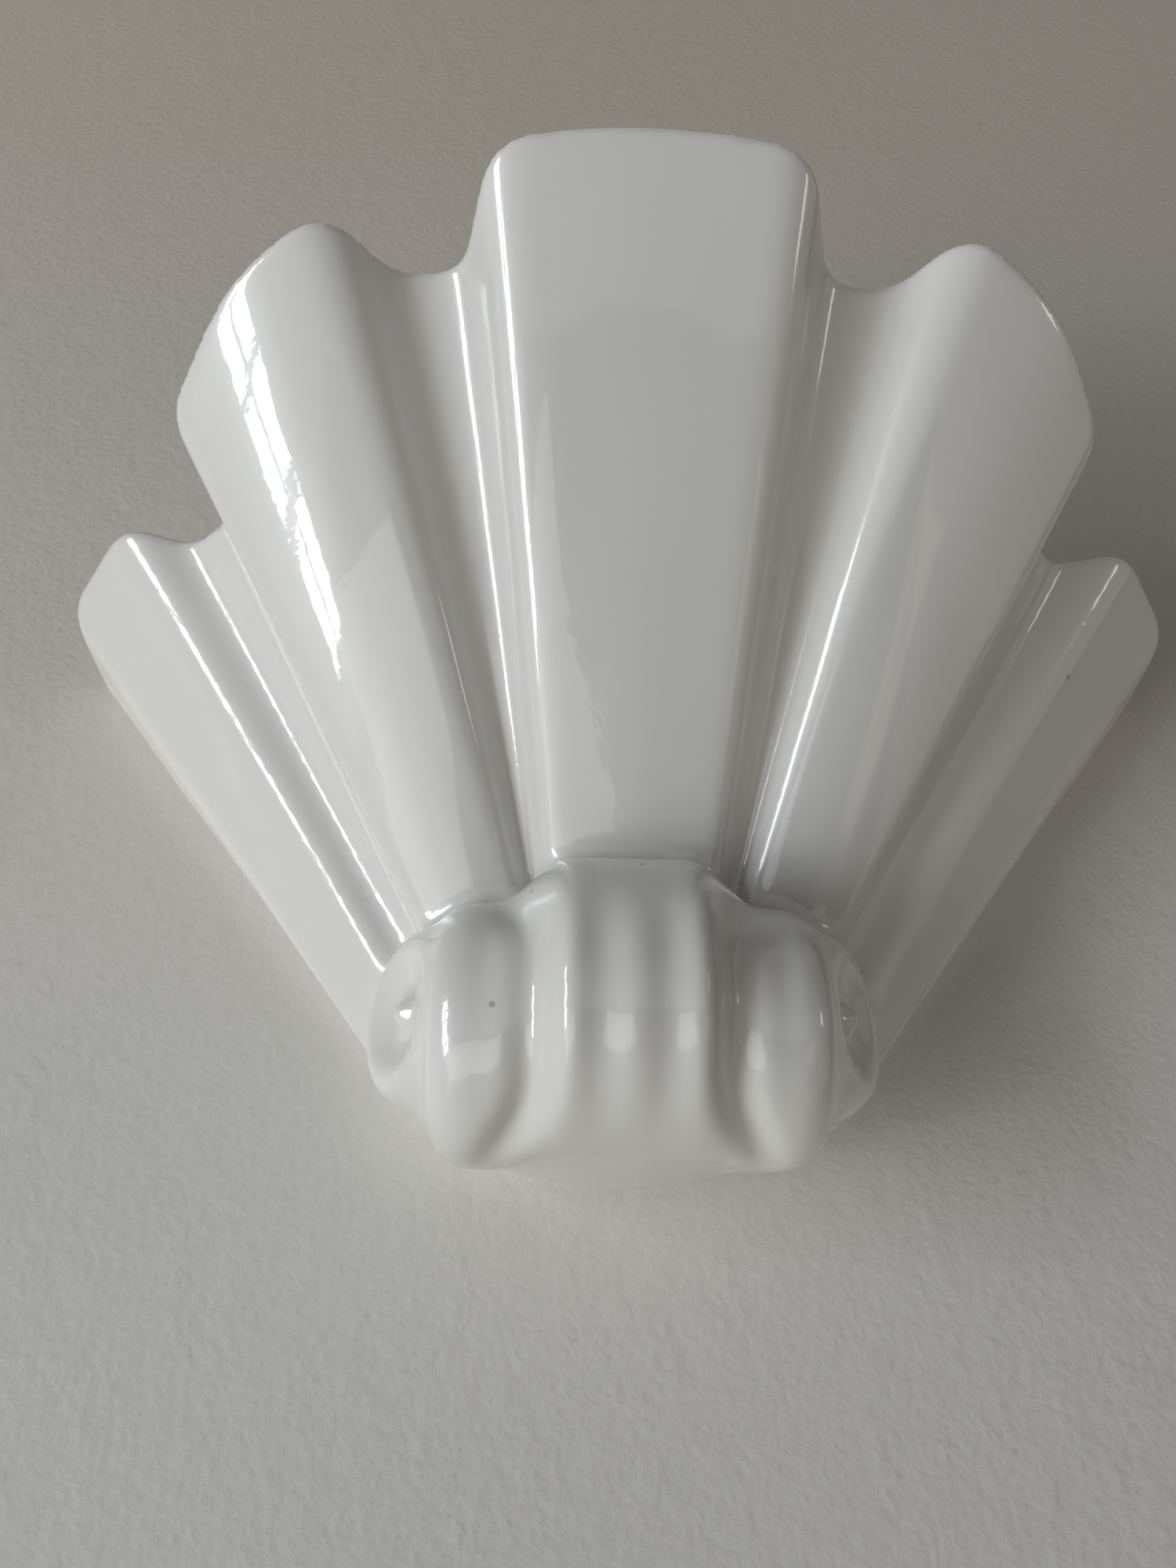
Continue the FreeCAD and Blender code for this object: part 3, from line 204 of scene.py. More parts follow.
def softened(rows, spacing, width):
    """Each section resampled evenly along its rim and its bends eased into one another."""
    steps = np.linalg.norm(np.diff(rows[-1], axis=0), axis=1)
    place = np.concatenate(([0], np.cumsum(steps)))
    count = int(place[-1] / spacing)
    even = np.linspace(0, place[-1], count)
    rows = np.stack([np.stack([np.interp(even, place, row[:, k]) for k in range(3)], 1)
                     for row in rows])
    for _ in range(int(width * width / spacing / spacing * 2)):
        inner = (rows[:, :-2] + 2 * rows[:, 1:-1] + rows[:, 2:]) / 4
        rows = np.concatenate((rows[:, :1], inner, rows[:, -1:]), 1)
    return rows


def flute_sheets():
    """Outer and inner surfaces of the flutes: arrays of (lower end, rim) by sample."""
    base = across([row[3] for row in FLUTE_EDGES], MIDDLE_BASE)
    rim = across([row[1] for row in FLUTE_EDGES], MIDDLE_RIM)
    rim = [Vector((p.x * RIM_EASE, p.y * RIM_EASE, p.z)) for p in rim]
    rim_radii = mirrored([row[2] for row in FLUTE_EDGES], MIDDLE_RIM_RADIUS)
    base_radii = mirrored([row[4] for row in FLUTE_EDGES], MIDDLE_BASE_RADIUS)
    steps = len(FLUTE_EDGES)
    hollow = across([inner_foot(i / steps) for i in range(steps)], inner_foot(1.0))
    hollow_radii = [HOLLOW_HALF_WIDTH / 4] * len(base)
    outer = np.stack((rounded_line(base, base_radii), rounded_line(rim, rim_radii)))
    inner = np.stack((rounded_line(hollow, hollow_radii),
                      rounded_line(inward(rim, WALL), rim_radii)))
    # the inner rim, the last row, sets the samples of both sheets
    both = softened(np.concatenate((outer, inner)), SHEET_SPACING, SHEET_SOFTNESS)
    return both[:2], both[2:]


def level_set(points, quads):
    """Distance field of a closed skin."""
    return openvdb.FloatGrid.createLevelSetFromPolygons(
        points.reshape(-1, 3).astype(np.float32), quads=np.array(quads, np.uint32),
        transform=openvdb.createLinearTransform(VOXEL), halfWidth=BAND / VOXEL)


def sheet_quads(rows, columns):
    """Corners of the quads of a sheet of points."""
    i, j = np.meshgrid(np.arange(rows - 1), np.arange(columns - 1), indexing="ij")
    a = (i * columns + j).ravel()
    return np.stack((a, a + 1, a + columns + 1, a + columns), 1)


def fluted_wall(outer, inner):
    """Closed skin of the thin wall: outer sheet, rounded lip, inner sheet, and its flat ends."""
    share = np.linspace(0, 1, SHEET_ROWS)[:, None, None]
    long_way = np.linalg.norm(outer[1] - outer[0], axis=1)[:, None]
    top_out = outer[1] + (outer[0] - outer[1]) * LIP / long_way
    top_in = inner[1] + (inner[0] - inner[1]) * LIP / long_way
    up_out = outer[0] + (top_out - outer[0]) * share
    up_in = inner[0] + (top_in - inner[0]) * share
    middle, half = (top_out + top_in) / 2, (top_out - top_in) / 2
    rise = (outer[1] + inner[1]) / 2 - middle
    turn = np.linspace(0, math.pi, LIP_ROWS)[1:-1, None, None]
    lip = middle + half * np.cos(turn) + rise * np.sin(turn)
    rows = np.concatenate((up_out, lip, up_in[::-1]))
    count, columns = rows.shape[:2]
    quads = [sheet_quads(count, columns)]
    last = (count - 1) * columns
    j = np.arange(columns - 1)
    quads.append(np.stack((last + j, last + j + 1, j + 1, j), 1))
    for column, flip in ((0, 1), (columns - 1, -1)):
        i = np.arange(count // 2)
        ends = np.stack((i, i + 1, count - 2 - i, count - 1 - i), 1)[:, ::flip]
        quads.append(ends * columns + column)
    return rows, np.concatenate(quads)


def hollow_skin(inner):
    """Closed skin of the space inside the flutes, carried on above the rim and behind the wall."""
    share = np.linspace(0, HOLLOW_OVERRUN, HOLLOW_ROWS)[:, None, None]
    rows = inner[0] + (inner[1] - inner[0]) * share
    behind = rows[:, [0, -1]] + np.array((0, HOLLOW_BEHIND, 0))
    rows = np.concatenate((behind[:, :1], rows, behind[:, 1:]), 1)
    count, columns = rows.shape[:2]
    points = rows.reshape(-1, 3)
    quads = [sheet_quads(count, columns)]
    i = np.arange(count - 1) * columns
    quads.append(np.stack((i + columns - 1, i, i + columns, i + 2 * columns - 1), 1))
    j = np.arange(columns - 1)
    lids = ((0, 0.0, (0, 1, 2, 2)), ((count - 1) * columns, HOLLOW_PEAK, (1, 0, 2, 2)))
    for start, height, order in lids:
        ring = points[start:start + columns]
        centre = ring.mean(0)
        points = np.concatenate((points, [centre + np.array((0, 0, height))]))
        hub = np.full(columns - 1, len(points) - 1)
        lid = np.stack((start + j, start + j + 1, hub), 1)[:, order]
        back = np.array(((start + columns - 1, start, len(points) - 1, len(points) - 1),))
        quads += [lid, back]
    return points, np.concatenate(quads)


def worked_radius(side, lift, radius):
    """The roll's radius with its ripples, grooves, crown and rounded ends; lift in degrees."""
    shown = 1 - ease(GROOVE_PLACE - RIPPLE_EDGE[0], GROOVE_PLACE - RIPPLE_EDGE[1], side)
    shown = shown * (1 - ease(*RIPPLE_TOP, lift)) * ease(*RIPPLE_FOOT, lift)
    radius = radius + RIPPLE_DEPTH * shown * np.cos(2 * math.pi * side / RIPPLE_PITCH)
    place = GROOVE_PLACE + GROOVE_FLARE * ease(*FLARE_TOP, lift)
    place = place + FOOT_FLARE * ease(*FLARE_FOOT, -lift)
    groove = np.exp(-((side - place) / GROOVE_HALF_WIDTH) ** 2)
    groove = groove * (1 - GROOVE_TOP_SHARE * ease(*GROOVE_TOP, lift)) * ease(*GROOVE_FOOT, lift)
    radius = radius - GROOVE_DEPTH * groove
    reach = (ROLL_HALF_LENGTH - GROOVE_PLACE) / 2
    crown = np.maximum(0, 1 - ((side - GROOVE_PLACE - reach) / reach) ** 2)
    radius = radius + BARREL_CROWN * crown
    end = np.clip(1 - (ROLL_HALF_LENGTH - side) / END_RUN, 0, 1)
    return radius - END_ROUND * (1 - np.sqrt(1 - end * end))


def roll_field(side, y, z, shrink=0.0, plain=False):
    """Field of the scroll: at each side place a circle with tangents that run to the wall."""
    blend = ease(BAND_HALF_WIDTH, BARREL_START, side)
    out, up, radius = (m + (s - m) * blend for m, s in zip(ROLL_MIDDLE, ROLL_SIDE))
    forward, above = -y - out, z - FOOT - up
    if not plain:
        radius = worked_radius(side, np.degrees(np.arctan2(above, forward)), radius)
    radius = radius - shrink
    share = np.clip(side / FOOT_HALF_WIDTH, 0, 1)
    foot = FOOT_RISE * (1 - np.sqrt(1 - share * share)) + shrink
    lines, past = [], []
    for start, way in ((foot, -1), (up + TOP_TANGENT * radius, 1)):
        # the tangent from the wall point (0, start) to the circle
        span = np.sqrt(out * out + (up - start) ** 2)
        angle = np.arctan2(up - start, out) + way * np.arcsin(np.clip(radius / span, -1, 1))
        lines.append(way * ((z - FOOT - start) * np.cos(angle) + y * np.sin(angle)))
        past.append(forward * np.cos(angle) + above * np.sin(angle) > 0)
    disc = np.sqrt(forward * forward + above * above) - radius
    front = (past[0] & (past[1] | (above < 0))) | (past[1] & (above > 0))
    behind = np.where(past[0], lines[1], np.where(past[1], lines[0], np.maximum(*lines)))
    return np.where(front, disc, behind)


def volute_field(side, y, z):
    """The turned end of the scroll, dished round a raised eye."""
    ax, ay = math.cos(VOLUTE_SPLAY), -math.sin(VOLUTE_SPLAY)
    px, py, pz = side - VOLUTE_FACE[0], y - VOLUTE_FACE[1], z - VOLUTE_FACE[2]
    along = px * ax + py * ay
    level = px * ay - py * ax
    radial = np.sqrt(level * level + pz * pz)
    turn = np.arctan2(pz, level)
    reach = TAPER_SHARE * VOLUTE_LENGTH
    taper = np.clip((along + reach) / reach, 0, 1.2)
    barrel = radial - (VOLUTE_RADIUS - (VOLUTE_RADIUS - FACE_RADIUS) * taper ** TAPER_POWER)
    ring = FACE_RADIUS - RING_INSET + RING_SWELL * np.cos(turn - RING_TURN)
    dish = DISH_DEPTH * (1 - ease(DISH_FLOOR, 1.0, radial / ring))
    eye = (DISH_DEPTH + EYE_RISE) * (1 - ease(0.0, EYE_RADIUS, radial))
    face = along + dish - eye
    return common(common(barrel, face, FACE_EDGE), -along - VOLUTE_LENGTH, VOLUTE_BACK_EDGE)


def box_field(x, y, z, low, high):
    """Field of a box with rounded edges."""
    field = None
    for p, a, b in zip((x, y, z), low, high):
        part = np.abs(p - (a + b) / 2) - (b - a) / 2
        field = part if field is None else common(field, part, LUG_EDGE)
    return field


def even_out(solid):
    """The field averaged with its near neighbours along each axis."""
    for axis in range(3):
        for _ in range(SMOOTH_PASSES):
            near = np.roll(solid, 1, axis) + np.roll(solid, -1, axis)
            solid = (solid * 2 + near) / 4
    return solid


def casting():
    """The whole casting as one quad mesh."""
    margin = Vector((MARGIN, MARGIN, MARGIN))
    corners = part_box("shell_body")
    low = np.floor(np.array(corners[0] - margin) / VOXEL).astype(int)
    high = np.ceil(np.array(corners[1] + margin) / VOXEL).astype(int)
    origin = tuple(int(v) for v in low)
    x, y, z = np.meshgrid(*[np.arange(a, b + 1, dtype=np.float32) * VOXEL
                            for a, b in zip(low, high)], indexing="ij", sparse=True)
    outer, inner = flute_sheets()
    fields = []
    for points, quads in (fluted_wall(outer, inner), hollow_skin(inner)):
        array = np.empty(tuple(high - low + 1), np.float32)
        level_set(points, quads).copyToArray(array, ijk=origin)
        fields.append(array)
    flutes, hollow = fields
    side = np.abs(x - SCROLL_SHIFT)
    roll = common(roll_field(side, y, z), side - ROLL_HALF_LENGTH, ROLL_EDGE)
    scroll = joined(roll, volute_field(side, y, z), VOLUTE_FILLET)
    scroll = np.maximum(scroll, -hollow)
    solid = joined(flutes, scroll.astype(np.float32), SCROLL_FILLET)
    space = common(roll_field(side, y, z, ROLL_WALL, True),
                   side - ROLL_HALF_LENGTH + ROLL_WALL, SPACE_EDGE)
    solid = common(solid, -space, SPACE_MOUTH)
    lug = box_field(np.abs(x), y, z, LUG_LOW, LUG_HIGH)
    lug = np.maximum(lug, hollow - WALL / 2)
    solid = joined(solid, lug.astype(np.float32), LUG_FILLET)
    for length, phase in WAVES:
        wave = 2 * math.pi / length
        swell = np.sin(x * wave + phase + np.sin(z * wave * 0.6))
        swell = swell * np.cos(z * wave * 0.7 + phase * 2 + y * wave)
        solid = solid + (WOBBLE / 3 * swell).astype(np.float32)
    solid = np.maximum(solid, y)
    solid = even_out(np.clip(solid, -BAND, BAND).astype(np.float32))
    grid = openvdb.FloatGrid(BAND)
    grid.transform = openvdb.createLinearTransform(VOXEL)
    grid.copyFromArray(np.ascontiguousarray(solid), ijk=origin)
    return grid.convertToQuads(0.0)


def mesh_object(name, points, faces):
    """A smooth-shaded object made from arrays of points and faces."""
    mesh = bpy.data.meshes.new(name)
    mesh.from_pydata(points.tolist(), [], faces.tolist())
    mesh.validate()
    mesh.shade_smooth()
    obj = bpy.data.objects.new(name, mesh)
    bpy.context.scene.collection.objects.link(obj)
    return obj


# ------------------------------------------------------------------ materials
def material(name):
    """A new material with its node tree, its Principled shader and its place on the object."""
    made = bpy.data.materials.new(name)
    made.use_nodes = True
    tree = made.node_tree
    surface = tree.nodes["Principled BSDF"]
    place = tree.nodes.new("ShaderNodeTexCoord").outputs["Object"]
    return made, tree, surface, place


def noise(tree, place, scale, detail=4.0, roughness=0.55, distortion=0.0):
    node = tree.nodes.new("ShaderNodeTexNoise")
    node.inputs["Scale"].default_value = scale
    node.inputs["Detail"].default_value = detail
    node.inputs["Roughness"].default_value = roughness
    node.inputs["Distortion"].default_value = distortion
    tree.links.new(place, node.inputs["Vector"])
    return node.outputs["Fac"]


def ramp(tree, value, stops):
    """Colour by value, from (position, colour) stops."""
    node = tree.nodes.new("ShaderNodeValToRGB")
    node.color_ramp.elements[0].position = stops[0][0]
    node.color_ramp.elements[0].color = (*stops[0][1], 1)
    node.color_ramp.elements[1].position = stops[-1][0]
    node.color_ramp.elements[1].color = (*stops[-1][1], 1)
    for position, colour in stops[1:-1]:
        node.color_ramp.elements.new(position).color = (*colour, 1)
    tree.links.new(value, node.inputs["Fac"])
    return node.outputs["Color"]


def two_tone(tree, value, dark, light, low=0.3, high=0.7):
    return ramp(tree, value, ((low, dark), (high, light)))


def spread(tree, value, low, high, to_low, to_high):
    """The value's range from low to high carried over to another range."""
    node = tree.nodes.new("ShaderNodeMapRange")
    names = ("From Min", "From Max", "To Min", "To Max")
    for name, number in zip(names, (low, high, to_low, to_high)):
        node.inputs[name].default_value = number
    tree.links.new(value, node.inputs["Value"])
    return node.outputs["Result"]


def mixed(tree, factor, first, second, mode="MIX"):
    """Two colours mixed; each input is a socket, a colour or a number."""
    node = tree.nodes.new("ShaderNodeMix")
    node.data_type = "RGBA"
    node.blend_type = mode
    for value, socket in ((factor, node.inputs["Factor"]), (first, node.inputs["A"]),
                          (second, node.inputs["B"])):
        if isinstance(value, bpy.types.NodeSocket):
            tree.links.new(value, socket)
        elif isinstance(value, tuple):
            socket.default_value = (*value, 1)
        else:
            socket.default_value = value
    return node.outputs["Result"]


def maths(tree, operation, first, second=0.0):
    node = tree.nodes.new("ShaderNodeMath")
    node.operation = operation
    for value, socket in zip((first, second), node.inputs):
        if isinstance(value, bpy.types.NodeSocket):
            tree.links.new(value, socket)
        else:
            socket.default_value = value
    return node.outputs["Value"]


def bump(tree, height, strength, distance, onto=None):
    """A normal bent by height, on top of another bent normal if one is given."""
    node = tree.nodes.new("ShaderNodeBump")
    node.inputs["Strength"].default_value = strength
    node.inputs["Distance"].default_value = distance
    tree.links.new(height, node.inputs["Height"])
    if onto is not None:
        tree.links.new(onto, node.inputs["Normal"])
    return node.outputs["Normal"]


def specks(tree, place, scale, size, share):
    """1 in a few small round specks, 0 elsewhere."""
    cells = tree.nodes.new("ShaderNodeTexVoronoi")
    cells.inputs["Scale"].default_value = scale
    tree.links.new(place, cells.inputs["Vector"])
    small = maths(tree, "LESS_THAN", cells.outputs["Distance"], size)
    colour = tree.nodes.new("ShaderNodeSeparateColor")
    tree.links.new(cells.outputs["Color"], colour.inputs["Color"])
    rare = maths(tree, "LESS_THAN", colour.outputs["Red"], share)
    return maths(tree, "MULTIPLY", small, rare)


def glaze():
    """Poured white glaze: gloss over a slightly uneven body, with pinholes and faint rubs."""
    made, tree, surface, place = material("glazed_ceramic")
    tone = two_tone(tree, noise(tree, place, 9, 3), (0.735, 0.73, 0.705), (0.755, 0.75, 0.73))
    pin = specks(tree, place, 130, 0.10, 0.035)
    rub = spread(tree, noise(tree, place, 60, 8, 0.7, 1.5), 0.66, 0.72, 0, 0.16)
    where = spread(tree, noise(tree, place, 7, 2), 0.62, 0.70, 0, 1)
    marks = maths(tree, "MULTIPLY", rub, where)
    colour = mixed(tree, maths(tree, "MULTIPLY", pin, 0.55), tone, (0.20, 0.17, 0.15))
    colour = mixed(tree, marks, colour, (0.50, 0.48, 0.46))
    tree.links.new(colour, surface.inputs["Base Color"])
    rough = spread(tree, noise(tree, place, 35, 5), 0.2, 0.8, 0.23, 0.28)
    rough = maths(tree, "ADD", rough, maths(tree, "MULTIPLY", marks, 0.2))
    tree.links.new(rough, surface.inputs["Roughness"])
    surface.inputs["Subsurface Weight"].default_value = 0.08
    surface.inputs["Subsurface Radius"].default_value = (0.0025, 0.002, 0.0015)
    surface.inputs["Subsurface Scale"].default_value = 1.0
    surface.inputs["Coat Weight"].default_value = 1.0
    surface.inputs["Coat Roughness"].default_value = 0.035
    surface.inputs["Coat IOR"].default_value = 1.52
    flow = bump(tree, noise(tree, place, 38, 2, 0.4), 0.35, 0.0006)
    peel = bump(tree, noise(tree, place, 260, 2, 0.5), 0.12, 0.0002, flow)
    coat = bump(tree, maths(tree, "MULTIPLY", pin, -1.0), 0.5, 0.0003, peel)
    tree.links.new(coat, surface.inputs["Coat Normal"])
    tree.links.new(flow, surface.inputs["Normal"])
    return made


def metal(name, light, dark, rough, grain=0.0, coarse=90):
    """Plated or turned metal: patchy tone, fine scratches along X when grain is set."""
    made, tree, surface, place = material(name)
    if grain:
        stretch = tree.nodes.new("ShaderNodeMapping")
        stretch.inputs["Scale"].default_value = (0.06, 1, 1)
        tree.links.new(place, stretch.inputs["Vector"])
        fine = noise(tree, stretch.outputs["Vector"], 900, 3, 0.6)
    else:
        fine = noise(tree, place, 700, 3, 0.6)
    broad = noise(tree, place, coarse, 4, 0.6)
    tree.links.new(two_tone(tree, broad, dark, light, 0.35, 0.62), surface.inputs["Base Color"])
    surface.inputs["Metallic"].default_value = 1.0
    tree.links.new(spread(tree, maths(tree, "ADD", broad, fine), 0.7, 1.3, rough, rough + 0.16),
                   surface.inputs["Roughness"])
    tree.links.new(bump(tree, fine, 0.12 + grain, 0.0001), surface.inputs["Normal"])
    return made


def moulded(name, light, dark, rough, grain=0.1, sheen=0.0, coat=0.0, scale=500):
    """Moulded or fired parts: mottled tone with a fine moulded grain."""
    made, tree, surface, place = material(name)
    broad = noise(tree, place, 60, 4, 0.6)
    fine = noise(tree, place, scale, 3, 0.6)
    tree.links.new(two_tone(tree, broad, dark, light, 0.35, 0.65), surface.inputs["Base Color"])
    tree.links.new(spread(tree, fine, 0.3, 0.7, rough, rough + 0.12), surface.inputs["Roughness"])
    tree.links.new(bump(tree, fine, grain, 0.0002), surface.inputs["Normal"])
    surface.inputs["Coat Weight"].default_value = coat
    surface.inputs["Sheen Weight"].default_value = sheen
    return made


def striped_lead():
    """Green insulation with a yellow stripe on two sides of the lead."""
    made, tree, surface, place = material("lead_earth")
    turn = tree.nodes.new("ShaderNodeNewGeometry")
    parts = tree.nodes.new("ShaderNodeSeparateXYZ")
    tree.links.new(turn.outputs["Normal"], parts.inputs["Vector"])
    side = maths(tree, "GREATER_THAN", maths(tree, "ABSOLUTE", parts.outputs["Y"]), 0.72)
    fine = noise(tree, place, 600, 3, 0.6)
    green = two_tone(tree, fine, (0.03, 0.16, 0.05), (0.04, 0.21, 0.06))
    yellow = two_tone(tree, fine, (0.62, 0.5, 0.05), (0.7, 0.58, 0.07))
    tree.links.new(mixed(tree, side, green, yellow), surface.inputs["Base Color"])
    tree.links.new(spread(tree, fine, 0.3, 0.7, 0.35, 0.5), surface.inputs["Roughness"])
    return made


def opal():
    """White-frosted lamp glass."""
    made, tree, surface, place = material("lamp_glass")
    tone = two_tone(tree, noise(tree, place, 40, 3), (0.80, 0.79, 0.76), (0.84, 0.835, 0.81))
    tree.links.new(tone, surface.inputs["Base Color"])
    surface.inputs["Transmission Weight"].default_value = 0.35
    surface.inputs["Subsurface Weight"].default_value = 0.3
    surface.inputs["Subsurface Radius"].default_value = (0.004, 0.004, 0.003)
    surface.inputs["Subsurface Scale"].default_value = 1.0
    tree.links.new(spread(tree, noise(tree, place, 300, 3), 0.3, 0.7, 0.10, 0.16),
                   surface.inputs["Roughness"])
    return made


def clear():
    """The clear glass of the lamp's stem."""
    made, tree, surface, place = material("clear_glass")
    tone = two_tone(tree, noise(tree, place, 80, 2), (0.90, 0.93, 0.92), (0.95, 0.97, 0.96))
    tree.links.new(tone, surface.inputs["Base Color"])
    surface.inputs["Transmission Weight"].default_value = 0.9
    tree.links.new(spread(tree, noise(tree, place, 200, 2), 0.3, 0.7, 0.03, 0.08),
                   surface.inputs["Roughness"])
    return made


LOOKS = {
    "glazed_ceramic": glaze(),
    "plated_steel": metal("plated_steel", (0.62, 0.62, 0.60), (0.50, 0.50, 0.49), 0.28, 0.10, 160),
    "brass": metal("brass", (0.72, 0.52, 0.22), (0.58, 0.40, 0.16), 0.22),
    "holder_moulding": moulded("holder_moulding", (0.022, 0.021, 0.020), (0.014, 0.013, 0.013),
                               0.22, 0.06, coat=0.3),
    "porcelain": moulded("porcelain", (0.74, 0.72, 0.67), (0.66, 0.64, 0.59), 0.42, 0.2),
    "block_plastic": moulded("block_plastic", (0.70, 0.70, 0.67), (0.62, 0.62, 0.60), 0.35, 0.1),
    "bush_rubber": moulded("bush_rubber", (0.030, 0.030, 0.030), (0.018, 0.018, 0.018), 0.62, 0.3,
                           sheen=0.2),
    "lead_brown": moulded("lead_brown", (0.13, 0.055, 0.025), (0.10, 0.04, 0.018), 0.35, 0.05),
    "lead_blue": moulded("lead_blue", (0.03, 0.09, 0.30), (0.02, 0.065, 0.23), 0.35, 0.05),
    "lead_earth": striped_lead(),
    "lamp_glass": opal(),
    "lamp_metal": metal("lamp_metal", (0.70, 0.69, 0.66), (0.58, 0.57, 0.55), 0.2),
    "black_glass": moulded("black_glass", (0.02, 0.02, 0.024), (0.012, 0.012, 0.015), 0.08, 0.02,
                           coat=0.6),
    "clear_glass": clear(),
    "filament": moulded("filament", (0.80, 0.58, 0.12), (0.70, 0.48, 0.08), 0.45, 0.2, scale=1500),
}


def dress(obj, slot):
    """Gives a piece the material of its slot."""
    obj.data.materials.clear()
    obj.data.materials.append(LOOKS[slot])


for part in frame["record"]["subparts"]:
    if part["node"] != "shell_body":
        dress(frame["nodes"][part["node"]], part["material_slot"])

points, faces = casting()
shell = mesh_object("glazed_shell", points, faces[:, ::-1])
dress(shell, "glazed_ceramic")
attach(shell, "shell")
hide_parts("shell_body")


# ------------------------------------------------------------------ room
WALL_GAP, FLOOR_LEVEL = 0.0006, -1.5


def plane(name, centre, half, normal):
    """A flat rectangle facing along normal."""
    side = Vector((0, 0, 1)) if abs(normal.z) < 0.5 else Vector((0, 1, 0))
    across_way = side.cross(normal).normalized()
    up_way = normal.cross(across_way)
    corners = [centre + across_way * half[0] * a + up_way * half[1] * b
               for a, b in ((-1, -1), (1, -1), (1, 1), (-1, 1))]
    mesh = bpy.data.meshes.new(name)
    mesh.from_pydata(corners, [], [(0, 1, 2, 3)])
    obj = bpy.data.objects.new(name, mesh)
    bpy.context.scene.collection.objects.link(obj)
    return obj


def painted_wall():
    """Roller-stippled emulsion with painted shade, browner and darker towards the top; seen from
    behind it lets the view and the light through.
    """
    made, tree, surface, place = material("painted_wall")
    fair = two_tone(tree, noise(tree, place, 2.2, 3, 0.5), (0.71, 0.69, 0.655), (0.76, 0.745, 0.71))
    split = tree.nodes.new("ShaderNodeSeparateXYZ")
    tree.links.new(place, split.inputs["Vector"])
    # painted shade: the wall's colour turns browner and darker with height, standing in for less
    # light falling above the shell
    high = spread(tree, split.outputs["Z"], -0.10, 0.30, 0, 0.8)
    tone = mixed(tree, high, fair, (0.66, 0.59, 0.50))
    chip = specks(tree, place, 24, 0.035, 0.05)
    tree.links.new(mixed(tree, maths(tree, "MULTIPLY", chip, 0.5), tone, (0.25, 0.22, 0.19)),
                   surface.inputs["Base Color"])
    surface.inputs["Roughness"].default_value = 0.62
    surface.inputs["Specular IOR Level"].default_value = 0.35
    stipple = noise(tree, place, 420, 3, 0.55)
    soft = noise(tree, place, 120, 3, 0.5)
    tree.links.new(bump(tree, stipple, 0.35, 0.0007, bump(tree, soft, 0.25, 0.0012)),
                   surface.inputs["Normal"])
    behind = tree.nodes.new("ShaderNodeNewGeometry").outputs["Backfacing"]
    shadow = tree.nodes.new("ShaderNodeLightPath").outputs["Is Shadow Ray"]
    through = maths(tree, "MAXIMUM", behind, shadow)
    gone = tree.nodes.new("ShaderNodeBsdfTransparent")
    choose = tree.nodes.new("ShaderNodeMixShader")
    tree.links.new(through, choose.inputs["Fac"])
    tree.links.new(surface.outputs["BSDF"], choose.inputs[1])
    tree.links.new(gone.outputs["BSDF"], choose.inputs[2])
    tree.links.new(choose.outputs["Shader"], tree.nodes["Material Output"].inputs["Surface"])
    return made


def pale_floor():
    made, tree, surface, place = material("pale_floor")
    tone = two_tone(tree, noise(tree, place, 3, 4), (0.60, 0.58, 0.55), (0.66, 0.64, 0.61))
    tree.links.new(tone, surface.inputs["Base Color"])
    surface.inputs["Roughness"].default_value = 0.6
    return made


wall = plane("wall", Vector((0, WALL_GAP, 0.1)), (2.2, 1.6), Vector((0, -1, 0)))
wall.data.materials.append(painted_wall())
floor = plane("floor", Vector((0, -1.5, FLOOR_LEVEL)), (2.5, 2.5), Vector((0, 0, 1)))
floor.data.materials.append(pale_floor())

# ------------------------------------------------------------------ light
TARGET = Vector((0, -0.06, -0.02))


def soft_light(name, azimuth, elevation, distance, size, power, colour):
    """An area light seen from the sconce at an azimuth (0 ahead, + to the right) and elevation."""
    data = bpy.data.lights.new(name, "AREA")
    data.shape = "RECTANGLE"
    data.size, data.size_y = size
    data.energy = power
    data.color = colour
    a, e = math.radians(azimuth), math.radians(elevation)
    away = Vector((math.sin(a) * math.cos(e), -math.cos(a) * math.cos(e), math.sin(e)))
    obj = bpy.data.objects.new(name, data)
    obj.location = TARGET + away * distance
    obj.rotation_euler = away.to_track_quat("Z", "Y").to_euler()
    obj.visible_camera = False
    bpy.context.scene.collection.objects.link(obj)
    return obj


COOL, NEUTRAL, WARM = (0.86, 0.93, 1.0), (1.0, 0.985, 0.95), (1.0, 0.91, 0.80)
# a window of panes with bars between them, seen in the glaze: degrees
WINDOW_AZIMUTH, WINDOW_LOW, PANE_SIDE_STEP, PANE_RISE = -58, -22, 3.1, 7.4
for column in (-1, 1):
    for row in range(5):
        soft_light("window_pane", WINDOW_AZIMUTH + column * PANE_SIDE_STEP,
                   WINDOW_LOW + row * PANE_RISE, 3.0, (0.26, 0.33), 3.3, COOL)
low_left = soft_light("low_left", -33, -41, 1.9, (1.6, 1.1), 6.5, NEUTRAL)
low_left.visible_diffuse = False
left_key = soft_light("left_key", -60, -30, 2.0, (1.2, 1.0), 11, NEUTRAL)
left_key.visible_glossy = False
soft_light("right_window", 62, 3, 3.0, (0.25, 0.45), 1.6, NEUTRAL)
soft_light("right_glow", 44, -28, 2.6, (0.5, 0.8), 0.8, WARM)
# behind the wall, which lets them through, for the open back and top
soft_light("back_top", 180, 48, 2.4, (2.0, 1.6), 26, NEUTRAL)
soft_light("back_left", -140, 12, 2.4, (1.4, 1.2), 13, NEUTRAL)
soft_light("back_right", 132, 12, 2.4, (1.4, 1.2), 11, NEUTRAL)


